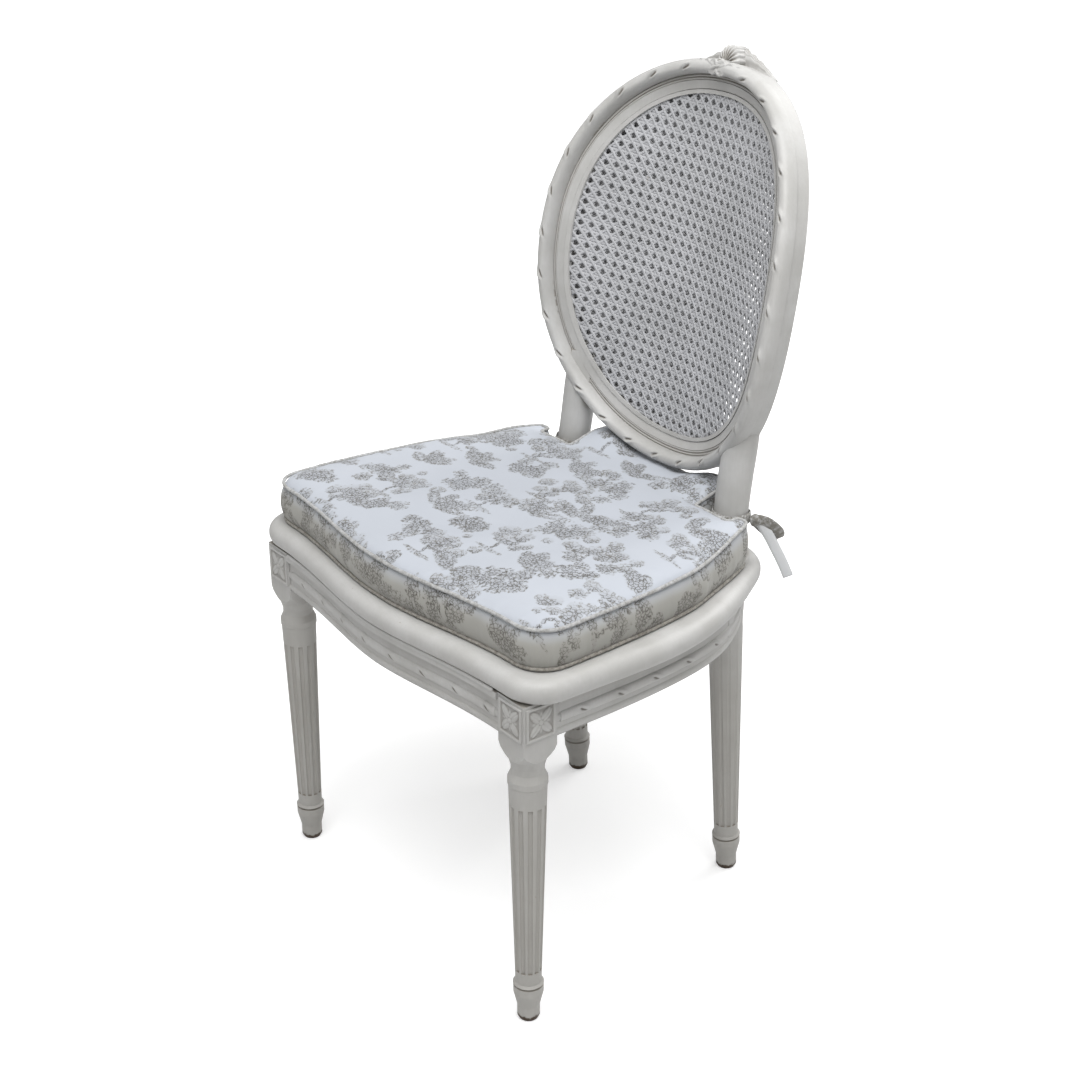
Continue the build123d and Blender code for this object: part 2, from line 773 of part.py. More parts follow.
def tape(points, width, thickness):
    """Flat tape through points, its flat side turned outwards."""
    start, *rest = points
    pieces = []
    for finish in rest:
        run = finish - start
        flat = Plane(origin=start, x_dir=(tape_turn_x, tape_turn_y, tape_turn_z), z_dir=run)
        pieces.append(extrude(flat * RectangleRounded(width, thickness, thickness / 3), run.length + thickness))
        start = finish
    return pieces


tail = [knot, Vector(tail_mid_x, tail_mid_y, tail_mid_z), Vector(tail_end_x, tail_end_y, tail_end_z)]
loop_end = Vector(loop_end_x, loop_end_y, loop_end_z)
tie = tie_plane * extrude(band, tape_width / 2, both=True)
tie += Pos(knot_x, knot_y, tie_z) * Sphere(knot_radius)
for piece in tape(tail, tape_width, tape_thickness) + tape([knot, loop_end], tape_width, 2 * tape_thickness):
    tie += piece
save_pair(tie, "tie")
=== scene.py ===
import math

import bmesh
import bpy
import numpy as np
from mathutils.geometry import delaunay_2d_cdt
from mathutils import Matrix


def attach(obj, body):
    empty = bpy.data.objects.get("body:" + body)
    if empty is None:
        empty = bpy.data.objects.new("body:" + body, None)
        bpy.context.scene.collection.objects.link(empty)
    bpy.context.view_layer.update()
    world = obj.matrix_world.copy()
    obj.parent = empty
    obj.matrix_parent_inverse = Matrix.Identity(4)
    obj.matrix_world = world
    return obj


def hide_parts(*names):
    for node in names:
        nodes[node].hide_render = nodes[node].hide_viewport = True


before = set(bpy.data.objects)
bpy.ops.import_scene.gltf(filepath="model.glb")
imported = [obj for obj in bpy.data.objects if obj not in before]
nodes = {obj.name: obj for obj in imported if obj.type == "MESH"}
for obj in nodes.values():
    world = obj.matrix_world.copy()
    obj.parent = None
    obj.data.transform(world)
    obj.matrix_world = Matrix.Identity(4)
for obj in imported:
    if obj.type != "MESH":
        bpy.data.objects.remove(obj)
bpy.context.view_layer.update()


# The joined frame: turned, carved and moulded legs, stiles and rails of beech, glued mortise and tenon.
# They were brushed with a thin grey-white paint; a warm glaze wiped over it stayed in the hollows.
# Below the seat the legs are painted darker and warmer, as painted shade under the seat; the foot ends are
# rubbed down to the brown wood.
def add_node(tree, kind, values={}, links={}, **options):
    """Shader node with its options set, its sockets filled from values and joined from links."""
    node = tree.nodes.new("ShaderNode" + kind)
    for name, value in options.items():
        setattr(node, name, value)
    for name, value in values.items():
        node.inputs[name].default_value = value
    for name, source in links.items():
        tree.links.new(source, node.inputs[name])
    return node


def mixed(share, first, second):
    """Colour that runs from first to second as share runs from 0 to 1; each is a colour or a socket."""
    tree = share.id_data
    node = add_node(tree, "Mix", links={0: share}, data_type="RGBA")
    for socket, colour in ((node.inputs[6], first), (node.inputs[7], second)):
        if isinstance(colour, tuple):
            socket.default_value = (*colour, 1)
        else:
            tree.links.new(colour, socket)
    return node.outputs[2]


def stepped(source, low, high, start=0.0, finish=1.0):
    """Smooth step from start to finish while the source goes from low to high."""
    values = {1: low, 2: high, 3: start, 4: finish}
    node = add_node(source.id_data, "MapRange", values, {0: source}, interpolation_type="SMOOTHSTEP")
    return node.outputs[0]


def reckoned(operation, first, second):
    """One sum of a socket and a socket or number."""
    tree = first.id_data
    node = add_node(tree, "Math", operation=operation)
    for socket, value in zip(node.inputs, (first, second)):
        if isinstance(value, (int, float)):
            socket.default_value = value
        else:
            tree.links.new(value, socket)
    return node.outputs[0]


def speckle(place, scale, detail=2.0, roughness=0.5):
    """Cloudy value between 0 and 1 over the piece, with lumps of one over scale metres."""
    values = {"Scale": scale, "Detail": detail, "Roughness": roughness}
    return add_node(place.id_data, "TexNoise", values, {"Vector": place}).outputs[0]


def new_material(name):
    """Material with nodes, and their tree."""
    material = bpy.data.materials.new(name)
    material.use_nodes = True
    return material, material.node_tree


def place_on(tree):
    """Place on the piece, in the piece's own ways."""
    return add_node(tree, "TexCoord").outputs["Object"]


def surface(colour, roughness, height, strength, depth, sheen=0.0, shine=0.5):
    """Gives the shader its colour, roughness, bumps that are so strong and so deep, sheen and shine."""
    tree = colour.id_data
    shader = tree.nodes["Principled BSDF"].inputs
    values = {"Strength": strength, "Distance": depth}
    bump = add_node(tree, "Bump", values, {"Height": height}).outputs["Normal"]
    for name, source in (("Base Color", colour), ("Roughness", roughness), ("Normal", bump)):
        tree.links.new(source, shader[name])
    shader["Sheen Weight"].default_value = sheen
    shader["Specular IOR Level"].default_value = shine


def dress(names, material):
    """Gives nodes of the CAD this material alone."""
    for name in names:
        coats = nodes[name].data.materials
        coats.clear()
        coats.append(material)


worn_paint = tree = bpy.data.node_groups.new("worn_paint", "ShaderNodeTree")
for way, kind, names in (
    ("INPUT", "Color", ("Light", "Dark")),
    ("INPUT", "Float", ("Carved", "Wiped")),
    ("OUTPUT", "Color", ("Color",)),
    ("OUTPUT", "Float", ("Roughness", "Height")),
):
    for name in names:
        tree.interface.new_socket(name, in_out=way, socket_type="NodeSocket" + kind)
given = tree.nodes.new("NodeGroupInput").outputs
place = place_on(tree)
brushed = add_node(tree, "Mapping", {"Scale": (1, 1, 0.16)}, {"Vector": place}).outputs[0]
cloud = speckle(place, 15.0, 4.0, 0.6)
streak = speckle(brushed, 420.0, 2.0)
closed_in = add_node(tree, "AmbientOcclusion", {"Distance": 0.012}, samples=8, only_local=True)
hollow = stepped(closed_in.outputs["AO"], 0.95, 0.52)
wiped = reckoned("MULTIPLY", hollow, stepped(cloud, 0.25, 0.75, 0.45, 0.95))
glaze = reckoned("MULTIPLY", wiped, given["Wiped"])
chipped = stepped(speckle(place, 62.0, 3.0, 0.7), 0.735, 0.755)
height_up = add_node(tree, "SeparateXYZ", links={0: place}).outputs[2]
ragged = reckoned("MULTIPLY_ADD", speckle(place, 240.0, 3.0), -0.008)
tree.links.new(height_up, ragged.node.inputs[2])
rubbed = stepped(ragged, 0.004, 0.0005)
streaked = stepped(streak, 0.25, 0.8, 0.0, 0.16)
seat_height, knee_height = 0.42, 0.24
# Painted shade under the seat: from seat height down to the knees the legs turn darker and warmer.
shade_under_seat = stepped(height_up, seat_height, knee_height, 0.0, 0.5)
nicks = reckoned("MULTIPLY", chipped, 0.55)
colour = mixed(stepped(cloud, 0.3, 0.7), given["Dark"], given["Light"])
for share, tint in (
    (streaked, (0.36, 0.35, 0.33)),
    (shade_under_seat, (0.275, 0.26, 0.23)),
    (glaze, (0.22, 0.198, 0.165)),
    (given["Carved"], (0.095, 0.082, 0.066)),
    (nicks, (0.24, 0.19, 0.14)),
    (rubbed, (0.055, 0.036, 0.022)),
):
    colour = mixed(share, colour, tint)
finished = tree.nodes.new("NodeGroupOutput").inputs
tree.links.new(colour, finished["Color"])
tree.links.new(stepped(cloud, 0.2, 0.8, 0.36, 0.56), finished["Roughness"])
tree.links.new(reckoned("SUBTRACT", streak, chipped), finished["Height"])


def painted(name, light, dark, wiped=1.0, carved=""):
    """Paint in two greys, with so much glaze; carved names a value on the mesh that darkens its cuts."""
    paint, tree = new_material(name)
    values = {"Light": (*light, 1), "Dark": (*dark, 1), "Carved": 0.0, "Wiped": wiped}
    coat = add_node(tree, "Group", values, node_tree=worn_paint)
    if carved:
        cut = add_node(tree, "Attribute", attribute_name=carved)
        tree.links.new(cut.outputs["Fac"], coat.inputs["Carved"])
    colour, roughness, height = coat.outputs
    surface(colour, roughness, height, strength=0.3, depth=0.0004, shine=0.35)
    return paint


frame_paint = painted("frame_paint", (0.50, 0.497, 0.487), (0.42, 0.415, 0.40))
wooden = ["front_rail", "back_rail", "crest_rail", "lower_rail"]
wooden += ["back_spline_front", "back_spline_rear", "seat_cane_spline"]
wooden += [f"{side}_{piece}" for side in ("right", "left") for piece in ("front_leg", "stile", "side_rail")]
dress(wooden, frame_paint)


# The glue blocks in the front corners under the seat: sawn beech, never painted.
# They are rubbed in with glue behind the front legs and are seen only from below.
bare_beech, tree = new_material("bare_beech")
place = place_on(tree)
grained = add_node(tree, "Mapping", {"Scale": (1, 0.12, 1)}, {"Vector": place}).outputs[0]
fleck = speckle(grained, 260.0, 4.0, 0.65)
beech = mixed(stepped(fleck, 0.3, 0.7), (0.36, 0.22, 0.12), (0.50, 0.34, 0.20))
roughness = stepped(fleck, 0.2, 0.8, 0.6, 0.8)
surface(beech, roughness, fleck, strength=0.3, depth=0.0005)
dress(("right_corner_block", "left_corner_block"), bare_beech)


# The roll round the oval: a broad rod carved on the outer half of the moulding, wound with a ribbon.
# At each of the ribbon's 28 turns a slanting slit is cut, with raised lips beside it.
# It is worked in the wood of the oval's four pieces and painted with them.
carved_paint = painted("carved_paint", (0.51, 0.507, 0.497), (0.43, 0.425, 0.41), carved="cut")


def grid_faces(rows, columns, close_rows=False, close_columns=False):
    """Four-sided faces between neighbours in a grid; a closed way joins its last line to its first."""
    index = np.arange(rows * columns).reshape(rows, columns)
    index = np.vstack([index, index[:1]]) if close_rows else index
    index = np.hstack([index, index[:, :1]]) if close_columns else index
    corners = [index[:-1, :-1], index[1:, :-1], index[1:, 1:], index[:-1, 1:]]
    return np.stack(corners, -1).reshape(-1, 4)


def joined(*ways):
    """Points from their places along each way."""
    return np.stack(ways, -1)


def put(name, data):
    """New object in the scene."""
    thing = bpy.data.objects.new(name, data)
    bpy.context.scene.collection.objects.link(thing)
    return thing


def add_piece(name, points, faces, material, body="frame", slot="painted_wood", marks={}, weld=False):
    """Piece of the chair; its faces are turned outwards by the sign of the volume that they enclose.
    Marks are values for each point; weld closes poles and seams where points fall together."""
    points = np.asarray(points, dtype=float).reshape(-1, 3)
    corners = points[faces] - points.mean(axis=0)
    volume = (corners[:, 0] * np.cross(corners[:, 2], corners[:, -1] - corners[:, 1])).sum()
    faces = faces if volume > 0 else faces[:, ::-1]
    mesh = bpy.data.meshes.new(name)
    mesh.from_pydata(points.tolist(), [], faces.tolist())
    for mark, amounts in marks.items():
        values = np.asarray(amounts, dtype=np.float32).ravel()
        mesh.attributes.new(mark, "FLOAT", "POINT").data.foreach_set("value", values)
    if weld:
        shell = bmesh.new()
        shell.from_mesh(mesh)
        bmesh.ops.remove_doubles(shell, verts=shell.verts, dist=1e-6)
        shell.to_mesh(mesh)
        shell.free()
    mesh.shade_smooth()
    mesh.materials.append(material)
    piece = put(name, mesh)
    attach(piece, body)
    return piece


def unit(vectors):
    """Each vector divided by its own length."""
    return vectors / np.linalg.norm(vectors, axis=-1, keepdims=True)


def lean_back(points):
    """From the back's own ways (across, up the lean, towards the sitter) to the room's, leaned back."""
    rake = math.radians(9.6)
    oval_middle = (0, 0.1963, 0.7197)
    turn = [[1, 0, 0], [0, math.sin(rake), math.cos(rake)], [0, -math.cos(rake), math.sin(rake)]]
    return np.asarray(points) @ np.array(turn) + oval_middle


hollow_radius, oval_power = 0.280, 2.2


def oval_lip(angles):
    """Inner lip of the oval: a superellipse bent round the cylinder of the back's hollow."""
    half_width, half_height = 0.168, 0.198
    across = half_width * np.sign(np.cos(angles)) * np.abs(np.cos(angles)) ** (2 / oval_power)
    up = half_height * np.sign(np.sin(angles)) * np.abs(np.sin(angles)) ** (2 / oval_power)
    return joined(across, up, hollow_radius - np.sqrt(hollow_radius**2 - across**2))


def oval_run(angles, outwards, forwards):
    """Line beside the lip, so far outwards across the moulding and forwards off it, with those two ways."""
    along = unit(oval_lip(angles + 0.001) - oval_lip(angles - 0.001))
    out = unit(joined(along[:, 1], -along[:, 0], 0 * along[:, 0]))
    front = np.cross(out, along)
    return oval_lip(angles) + outwards * out + forwards * front, out, front


def wound_rod(line, out, front, gone, spacing, half_width, rise, cut):
    """Rod on a line: a superellipse of power 2.5, half_width to each side and rise high, flatter behind.
    At every spacing of the way gone it has a slit, a slanting bell drawn out along the rod and cut deep,
    and beside it raised lips of the same form; gives the points and the share of glaze in the slits."""
    shown = np.linspace(-0.2, np.pi + 0.2, 44)
    hidden = np.linspace(np.pi + 0.2, 2 * np.pi - 0.2, 6)[1:-1]
    turn = np.append(shown, hidden)[None, :]
    aside = np.sign(np.cos(turn)) * np.abs(np.cos(turn)) ** 0.8
    ahead = np.sign(np.sin(turn)) * np.abs(np.sin(turn)) ** 0.8
    ahead = np.where(ahead > 0, ahead, 0.2 * ahead)
    along = ((gone / spacing + 0.5) % 1 - 0.5)[:, None] * spacing
    slit_turn, slit_long, slit_wide, slant = 1.7, 0.0056, 0.0012, (0.90, 0.43)
    round_it = np.arctan2(np.sin(turn - slit_turn), np.cos(turn - slit_turn)) * (half_width + rise) / 2
    lengthwise = slant[0] * along + slant[1] * round_it
    crosswise = slant[0] * round_it - slant[1] * along
    slit = np.exp(-((lengthwise / slit_long) ** 4) - (crosswise / slit_wide) ** 2)
    high_lip = 1.5 * np.exp(-((lengthwise / 0.0078) ** 2) - ((crosswise + 0.0034) / 0.0020) ** 2)
    low_lip = 0.5 * np.exp(-((lengthwise / 0.0072) ** 4) - ((crosswise - 0.0030) / 0.0016) ** 2)
    proud = (cut * (high_lip + low_lip - slit))[..., None]
    way = np.cos(turn)[..., None] * out[:, None] + np.sin(turn)[..., None] * front[:, None]
    section = half_width * aside[..., None] * out[:, None] + rise * ahead[..., None] * front[:, None]
    return line[:, None] + section + proud * way, np.clip(1.5 * slit - 0.4, 0, 0.95)


def way_gone(line):
    """Length gone along a line at each of its points."""
    return np.append(0, np.cumsum(np.linalg.norm(np.diff(line, axis=0), axis=1)))


roll_outwards, roll_forwards, ribbon_turns = 0.0242, -0.0005, 28
fine_angles = np.linspace(0, 2 * np.pi, 4001)
gone = way_gone(oval_run(fine_angles, roll_outwards, roll_forwards)[0])
oval_gone = np.linspace(0, gone[-1], 1500, endpoint=False)
oval_angles = np.interp(oval_gone, gone, fine_angles)
oval_ways = oval_run(oval_angles, roll_outwards, roll_forwards)
rod_points, rod_cuts = wound_rod(
    *oval_ways, oval_gone, gone[-1] / ribbon_turns, half_width=0.0082, rise=0.0158, cut=0.0014
)
rod_faces = grid_faces(*rod_cuts.shape, close_rows=True, close_columns=True)
add_piece("oval_ribbon_roll", lean_back(rod_points), rod_faces, carved_paint, marks={"cut": rod_cuts})


# The rod along the seat rails: the same ribbon-wound reed, carved on the face of the front and side rails.
# It runs from the square blocks over the front legs to the back stiles; the left rail mirrors the right.
reed_height = 0.382


def rail_line(node, starts, way):
    """Line along a rail: where rays from the starts along a way first meet it, if they do."""
    met = [nodes[node].ray_cast(start, way) for start in starts.tolist()]
    return np.array([place for hit, place, *_ in met if hit])


def rail_rod(name, crest, sunk, spacing, half_width, rise, cut, hand=1):
    """Wound rod sunk under a line of points on a rail; its ends shrink to a point in the wood."""
    crest = crest * (hand, 1, 1)
    along = unit(np.gradient(crest, axis=0))
    out = unit(joined(along[:, 1], -along[:, 0], 0 * along[:, 0]))
    from_inside = crest - (0, -0.05, reed_height)
    out = np.where((out * from_inside).sum(axis=1, keepdims=True) > 0, out, -out)
    up = np.zeros_like(out) + (0, 0, 1)
    middle = crest - sunk * out
    points, cuts = wound_rod(middle, up, out, way_gone(crest) + 0.02, spacing, half_width, rise, cut)
    share = np.ones((len(crest), 1, 1))
    share[[0, -1]] = 0
    points = middle[:, None] + (points - middle[:, None]) * share
    faces = grid_faces(*cuts.shape, close_columns=True)
    add_piece(name, points, faces, carved_paint, marks={"cut": cuts}, weld=True)


def rail_rods(kind, height, above, **form):
    """Rods of one kind on the front and side rails, so far above the line at a height on their faces."""
    x, y = np.linspace(-0.2, 0.2, 300), np.linspace(-0.192, 0.078, 260)
    front, side = joined(x, 0 * x - 0.4, 0 * x + height), joined(0 * y + 0.4, y, 0 * y + height)
    front = rail_line("front_rail", front, (0, 1, 0)) + (0, 0, above)
    side = rail_line("right_side_rail", side, (-1, 0, 0)) + (0, 0, above)
    rail_rod(f"front_rail_{kind}", front, **form)
    rail_rod(f"right_rail_{kind}", side, **form)
    rail_rod(f"left_rail_{kind}", side, **form, hand=-1)


reed = {"sunk": 0.0065, "spacing": 0.051, "half_width": 0.0069, "rise": 0.0074, "cut": 0.0009}
rail_rods("reed", reed_height, above=0.0, **reed)


# The bead: a plain thin rod in the corner between the seat's round edge and the band under it.
# It is worked on the front and side rails, as long as the reeds, and painted with them.
bead = {"sunk": 0.0008, "spacing": 10.0, "half_width": 0.0022, "rise": 0.0024, "cut": 0.0}
band_height = reed_height + 0.0255
rail_rods("bead", band_height, above=0.0022, **bead)


# The carved crest: a fluted shell on the top rail, between two ribbed wings that slope down to the rail.
# Before its foot lie a small flower and two lobed leaves on the roll.
# All are cut from the rail's own wood and painted with it.
def plate(front, back):
    """Closed plate between two like grids of points: both grids and the wall round their edges."""
    rows, columns = front.shape[:2]
    index = np.arange(rows * columns).reshape(rows, columns)
    rim = np.concatenate([index[0, :-1], index[:-1, -1], index[-1, :0:-1], index[:0:-1, 0]])
    after, behind = np.roll(rim, -1), rows * columns
    wall = joined(rim + behind, after + behind, after, rim)
    face = grid_faces(rows, columns)
    faces = np.concatenate([face[:, ::-1], face + behind, wall])
    return np.concatenate([front.reshape(-1, 3), back.reshape(-1, 3)]), faces


def crest_plate(name, front, back, cut, weld=False):
    """Carved plate of the crest, given in the back's own ways; the cuts lie on its front only."""
    points, faces = plate(front, back)
    marks = {"cut": np.append(cut, 0 * cut)}
    add_piece(name, lean_back(points), faces, carved_paint, marks=marks, weld=weld)


# Shell: a half disc of nine flutes, bowed like a shallow dish, its edge drawn in between the flutes.
half_fan, flutes = 1.45, 9
shell_foot, shell_width, shell_height = 0.2275, 0.0172, 0.0203
fan, reach = np.linspace(-half_fan, half_fan, 105)[None, :], np.linspace(0, 1, 24)[:, None]
flute = np.cos(np.pi * flutes * fan / half_fan)
edge = 1 - 0.035 * (1 - flute) * reach**3
across = shell_width * reach * np.sin(fan) * edge
up = shell_foot + shell_height * reach**0.9 * np.cos(fan) * edge
deep = -0.0060 + 0.0085 * np.sqrt(1 - 0.88 * reach**2.4) + 0.0010 * flute * np.sin(0.9 * np.pi * reach)
shell_front = joined(across, up, deep)
shell_back = joined(0.9 * across, up - 0.001, 0 * deep - 0.0245)
shell_cut = np.clip(0.1 - 0.7 * flute, 0, 0.42) * np.sin(0.95 * np.pi * reach)
crest_plate("crest_shell", shell_front, shell_back, shell_cut, weld=True)

# Flower: five petals round a button, each raised by half a sine from heart to tip; it is tilted forwards.
turn = np.linspace(0, 2 * np.pi, 60, endpoint=False)[None, :]
reach = np.append(np.linspace(0, 1, 14), [1.0, 0.0])[:, None]
petal = 0.5 + 0.5 * np.cos(5 * turn)
flower_radius, flower_up, flower_deep = 0.0060, 0.2296, 0.0122
spread = flower_radius * reach * (0.78 + 0.22 * petal)
button = 0.002 * np.exp(-((reach / 0.2) ** 2))
raised = 0.0020 * np.sin(np.pi * reach**0.8) * (0.35 + 0.65 * petal) + button
raised[-2:] = -0.006
across, sloping = spread * np.sin(turn), spread * np.cos(turn)
up = flower_up + 0.8 * raised - 0.6 * sloping
deep = flower_deep + 0.6 * raised + 0.8 * sloping
flower = joined(across, up, deep)
round_button = 0.4 * np.exp(-(((reach - 0.26) / 0.07) ** 2))
flower_cut = np.clip(np.clip(0.6 - 1.6 * petal, 0, 0.5) * (reach > 0.2) + round_button, 0, 0.5)
flower_faces = grid_faces(*flower_cut.shape, close_columns=True)
marks = {"cut": flower_cut}
add_piece("crest_flower", lean_back(flower), flower_faces, carved_paint, marks=marks, weld=True)

# Leaves and wings: a leaf is the outline of three discs, falling outwards, with a midrib and veins.
# A wing is a wall that follows the rail down, its top curling lower in four waves and ribbed lengthwise.
length = np.linspace(0, 1, 41)[:, None]
width = np.linspace(-1, 1, 33)[None, :]
leaf_length, leaf_up = 0.036, 0.2227
leaf_discs = ((0.006, 0.0088), (0.018, 0.0073), (0.030, 0.0058))
wing_start, wing_length, wing_foot = 0.009, 0.050, 0.2240
for name, side in (("right", 1), ("left", -1)):
    away = leaf_length * length + 0 * width
    lobes = [np.sqrt(np.clip(radius**2 - (away - at) ** 2, 0, 1)) for at, radius in leaf_discs]
    up = leaf_up + np.maximum.reduce(lobes) * width
    vein = np.cos(2 * np.pi * (away / 0.012 - 0.5 - 0.8 * np.abs(width)))
    midrib = 0.0008 * np.exp(-((width / 0.14) ** 2))
    lift = 0.0161 - 0.125 * away - 0.0012 * width**4 + 0.0005 * vein - midrib
    cut = np.clip(0.2 * np.exp(-((width / 0.12) ** 2)) + 0.12 * (vein < -0.8), 0, 0.4)
    leaf_front = joined(side * away, up, lift)
    leaf_back = joined(side * away, up, 0 * lift + 0.002)
    crest_plate(f"crest_{name}_leaf", leaf_front, leaf_back, cut)

    across = side * (wing_start + wing_length * length) + 0 * width
    fall = 2.3 * across**2
    curl = 0.0165 * (1 - length) ** 0.75 * (1 + 0.07 * np.cos(2 * np.pi * 4 * length))
    rib = np.cos(7 * np.pi * width + 5 * length)
    up = shell_foot - fall + curl * (1 - width**4) ** 0.5 + 0.0006 * rib * (1 - length)
    deep = -0.0180 + 0.0062 * (1 - 0.3 * length) * width
    cut = np.clip(0.1 - 0.6 * rib - 0.2 * length, 0, 0.36)
    wing_top = joined(across, up, deep)
    wing_under = joined(across, 0 * up + wing_foot - fall, deep)
    crest_plate(f"crest_{name}_wing", wing_top, wing_under, cut)


# The rosettes: a square panel with a raised rim on each outer face of the blocks over the front legs.
# Four pointed leaves lie along its diagonals round a button, with small tips between them.
# They are carved in the block and painted with it.
def rosette_relief(a, b):
    """Height of the carving in mm over a square from -1 to 1: the highest of rim, leaves, tips and button.
    Leaves are lenses along the diagonals, rounded across and with a groove; tips lie on the axes."""
    reach = np.hypot(a, b)
    rim = np.clip((np.maximum(np.abs(a), np.abs(b)) - 0.80) / 0.07, 0, 1)
    lens = np.clip(1 - ((reach - 0.56) / 0.46) ** 2, 0, 1)
    aside = np.minimum(np.abs(a - b), np.abs(a + b)) / np.sqrt(2)
    leaves = 1.9 * np.clip(1 - (aside / (0.27 * np.sqrt(lens) + 1e-3)) ** 2, 0, 1) ** 0.5 * lens**0.4
    leaves -= 0.7 * np.exp(-((aside / 0.045) ** 2)) * (leaves > 0.4)
    beside = np.minimum(np.abs(a), np.abs(b))
    tips = np.clip(1 - (beside / 0.15) ** 2, 0, 1) * np.clip(1 - ((reach - 0.5) / 0.24) ** 2, 0, 1)
    button = 2.3 * np.sqrt(np.clip(1 - (reach / 0.17) ** 2, 0, 1))
    return 0.25 + np.maximum.reduce([1.5 * rim, np.clip(leaves, 0, 3), tips, button])


a, b = np.meshgrid(np.linspace(-1, 1, 57), np.linspace(-1, 1, 57), indexing="ij")
relief = rosette_relief(a, b) / 1000
hollow_cut = np.clip(1.15 - relief / 0.0011, 0, 0.33)
marks = {"cut": np.append(hollow_cut, 0 * hollow_cut)}
leg_x, leg_y, block_middle = 0.226, -0.217, 0.386
front_face, side_face, sunk = -0.2385, 0.2475, 0.001
across, up = 0.0185 * a, block_middle + 0.0195 * b
for side, sign in (("right", 1), ("left", -1)):
    front = joined(sign * leg_x + across, front_face - relief, up)
    behind = joined(sign * leg_x + across, 0 * a + front_face + sunk, up)
    add_piece(f"{side}_front_rosette", *plate(front, behind), carved_paint, marks=marks)
    front = joined(sign * (side_face + relief), across + leg_y, up)
    behind = joined(sign * (side_face - sunk + 0 * a), across + leg_y, up)
    add_piece(f"{side}_side_rosette", *plate(front, behind), carved_paint, marks=marks)


# The cane: three sheets of six-way woven cane, two in the back, one behind the other, and one in the seat.
# Pairs of strands run up and across, single ones slant between; a wedge strip holds the edges in a groove.
# The cane was painted with the frame, so it is grey-white too; the rear sheet is painted paler, as painted
# light in the hollow between the two sheets.
cane_paint = painted("cane_paint", (0.46, 0.465, 0.485), (0.40, 0.405, 0.42), wiped=0.1)
rear_cane_painted_light = painted("rear_cane_painted_light", (0.66, 0.66, 0.665), (0.60, 0.60, 0.605), wiped=0.0)


def cane_sheet(name, node, inside, lay, pitch, turn, shift=(0, 0), paint=cane_paint):
    """Woven strands: straight flat strips on parallel lines in four ways, cut off where inside ends.
    Lay brings points (across, up, height over the sheet) into place; strips ripple over and under."""
    steps = np.arange(-48, 49)
    wide, tall = pitch
    pair, half_width, shortest, rows = 0.0018, 0.00158, 0.008, 36
    zero = 0 * steps
    starts = [(steps * wide - pair, zero), (steps * wide + pair, zero)]
    starts += [(zero, steps * tall - pair), (zero, steps * tall + pair)]
    starts += [((steps + 0.5) * wide, zero), ((steps + 0.5) * wide, zero)]
    slant = np.hypot(wide, tall)
    ways = [(0, 1), (0, 1), (1, 0), (1, 0), (wide / slant, tall / slant), (-wide / slant, tall / slant)]
    heights = [-0.0004, -0.0004, 0.0, 0.0, 0.00035, 0.0006]
    starts = np.concatenate([np.stack(start, -1) for start in starts])
    ways = np.repeat(np.array(ways), len(steps), axis=0)
    heights = np.repeat(heights, len(steps))
    swing = np.array([[math.cos(turn), math.sin(turn)], [-math.sin(turn), math.cos(turn)]])
    starts, ways = (starts + shift) @ swing, ways @ swing
    gone = np.linspace(-0.42, 0.42, 1681)
    kept = inside(starts[:, None] + gone[None, :, None] * ways[:, None])
    first = gone[kept.argmax(axis=1)]
    last = gone[len(gone) - 1 - kept[:, ::-1].argmax(axis=1)]
    long_enough = kept.any(axis=1) & (last - first > shortest)
    whole = (starts, ways, heights, first, last)
    starts, ways, heights, first, last = [each[long_enough] for each in whole]
    gone = first[:, None] + (last - first)[:, None] * np.linspace(0, 1, rows)
    line = starts[:, None] + gone[..., None] * ways[:, None]
    ripple = heights[:, None] + 0.0002 * np.cos(np.pi * gone / wide)
    aside = joined(-ways[:, 1], ways[:, 0])[:, None, None, :]
    edge = np.array([-1, -0.55, 0.55, 1, 0.8, -0.8]) * half_width
    thick = np.array([0.0, 0.00042, 0.00042, 0.0, -0.0003, -0.0003])
    flat = line[:, :, None] + edge[:, None] * aside
    points = lay(flat[..., 0], flat[..., 1], ripple[..., None] + thick)
    columns = len(edge)
    caps = np.array([[0, 1, 4, 5], [1, 2, 3, 4]])
    caps = np.concatenate([caps, caps[:, ::-1] + (rows - 1) * columns])
    strip = np.concatenate([grid_faces(rows, columns, close_columns=True), caps])
    faces = strip + np.arange(len(starts))[:, None, None] * rows * columns
    sheet = add_piece(name, points, faces.reshape(-1, 4), paint, slot="painted_cane")
    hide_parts(node)


def in_oval(flat):
    """Inside the groove's superellipse."""
    half_axes = (0.1672, 0.1972)
    return ((np.abs(flat) / half_axes) ** oval_power).sum(axis=-1) < 1


def hollow_lay(depth):
    """Bends a flat sheet round the hollow of the back, so far behind its face."""

    def lay(across, up, height):
        forward = hollow_radius - np.sqrt((hollow_radius + depth - height) ** 2 - across**2)
        return lean_back(joined(across, up, forward))

    return lay


back_weave = {"inside": in_oval, "pitch": (0.0117, 0.0125), "turn": math.radians(-4.5)}
cane_sheet("woven_back_front", "back_cane_front", lay=hollow_lay(0.0048), **back_weave)
rear_weave = {"lay": hollow_lay(0.0138), "shift": (0.0083, 0.0039), "paint": rear_cane_painted_light}
cane_sheet("woven_back_rear", "back_cane_rear", **rear_weave, **back_weave)


def in_seat(flat):
    """Inside the seat's rabbet: front, sides, slanting shoulders and rear, less the front corners."""
    x, y = np.abs(flat[..., 0]), flat[..., 1]
    side = (x + 0.0158 * y < 0.2084) & (0.769 * x + 0.639 * y < 0.1560)
    return side & (y > -0.2084) & (y < 0.1044) & (x - y < 0.398)


def seat_lay(across, up, height):
    """Lies flat on the rabbet's floor."""
    rabbet_floor = 0.43355
    return joined(across, up, rabbet_floor + height)


cane_sheet("woven_seat", "seat_cane", in_seat, seat_lay, (0.0122, 0.0122), 0.0)


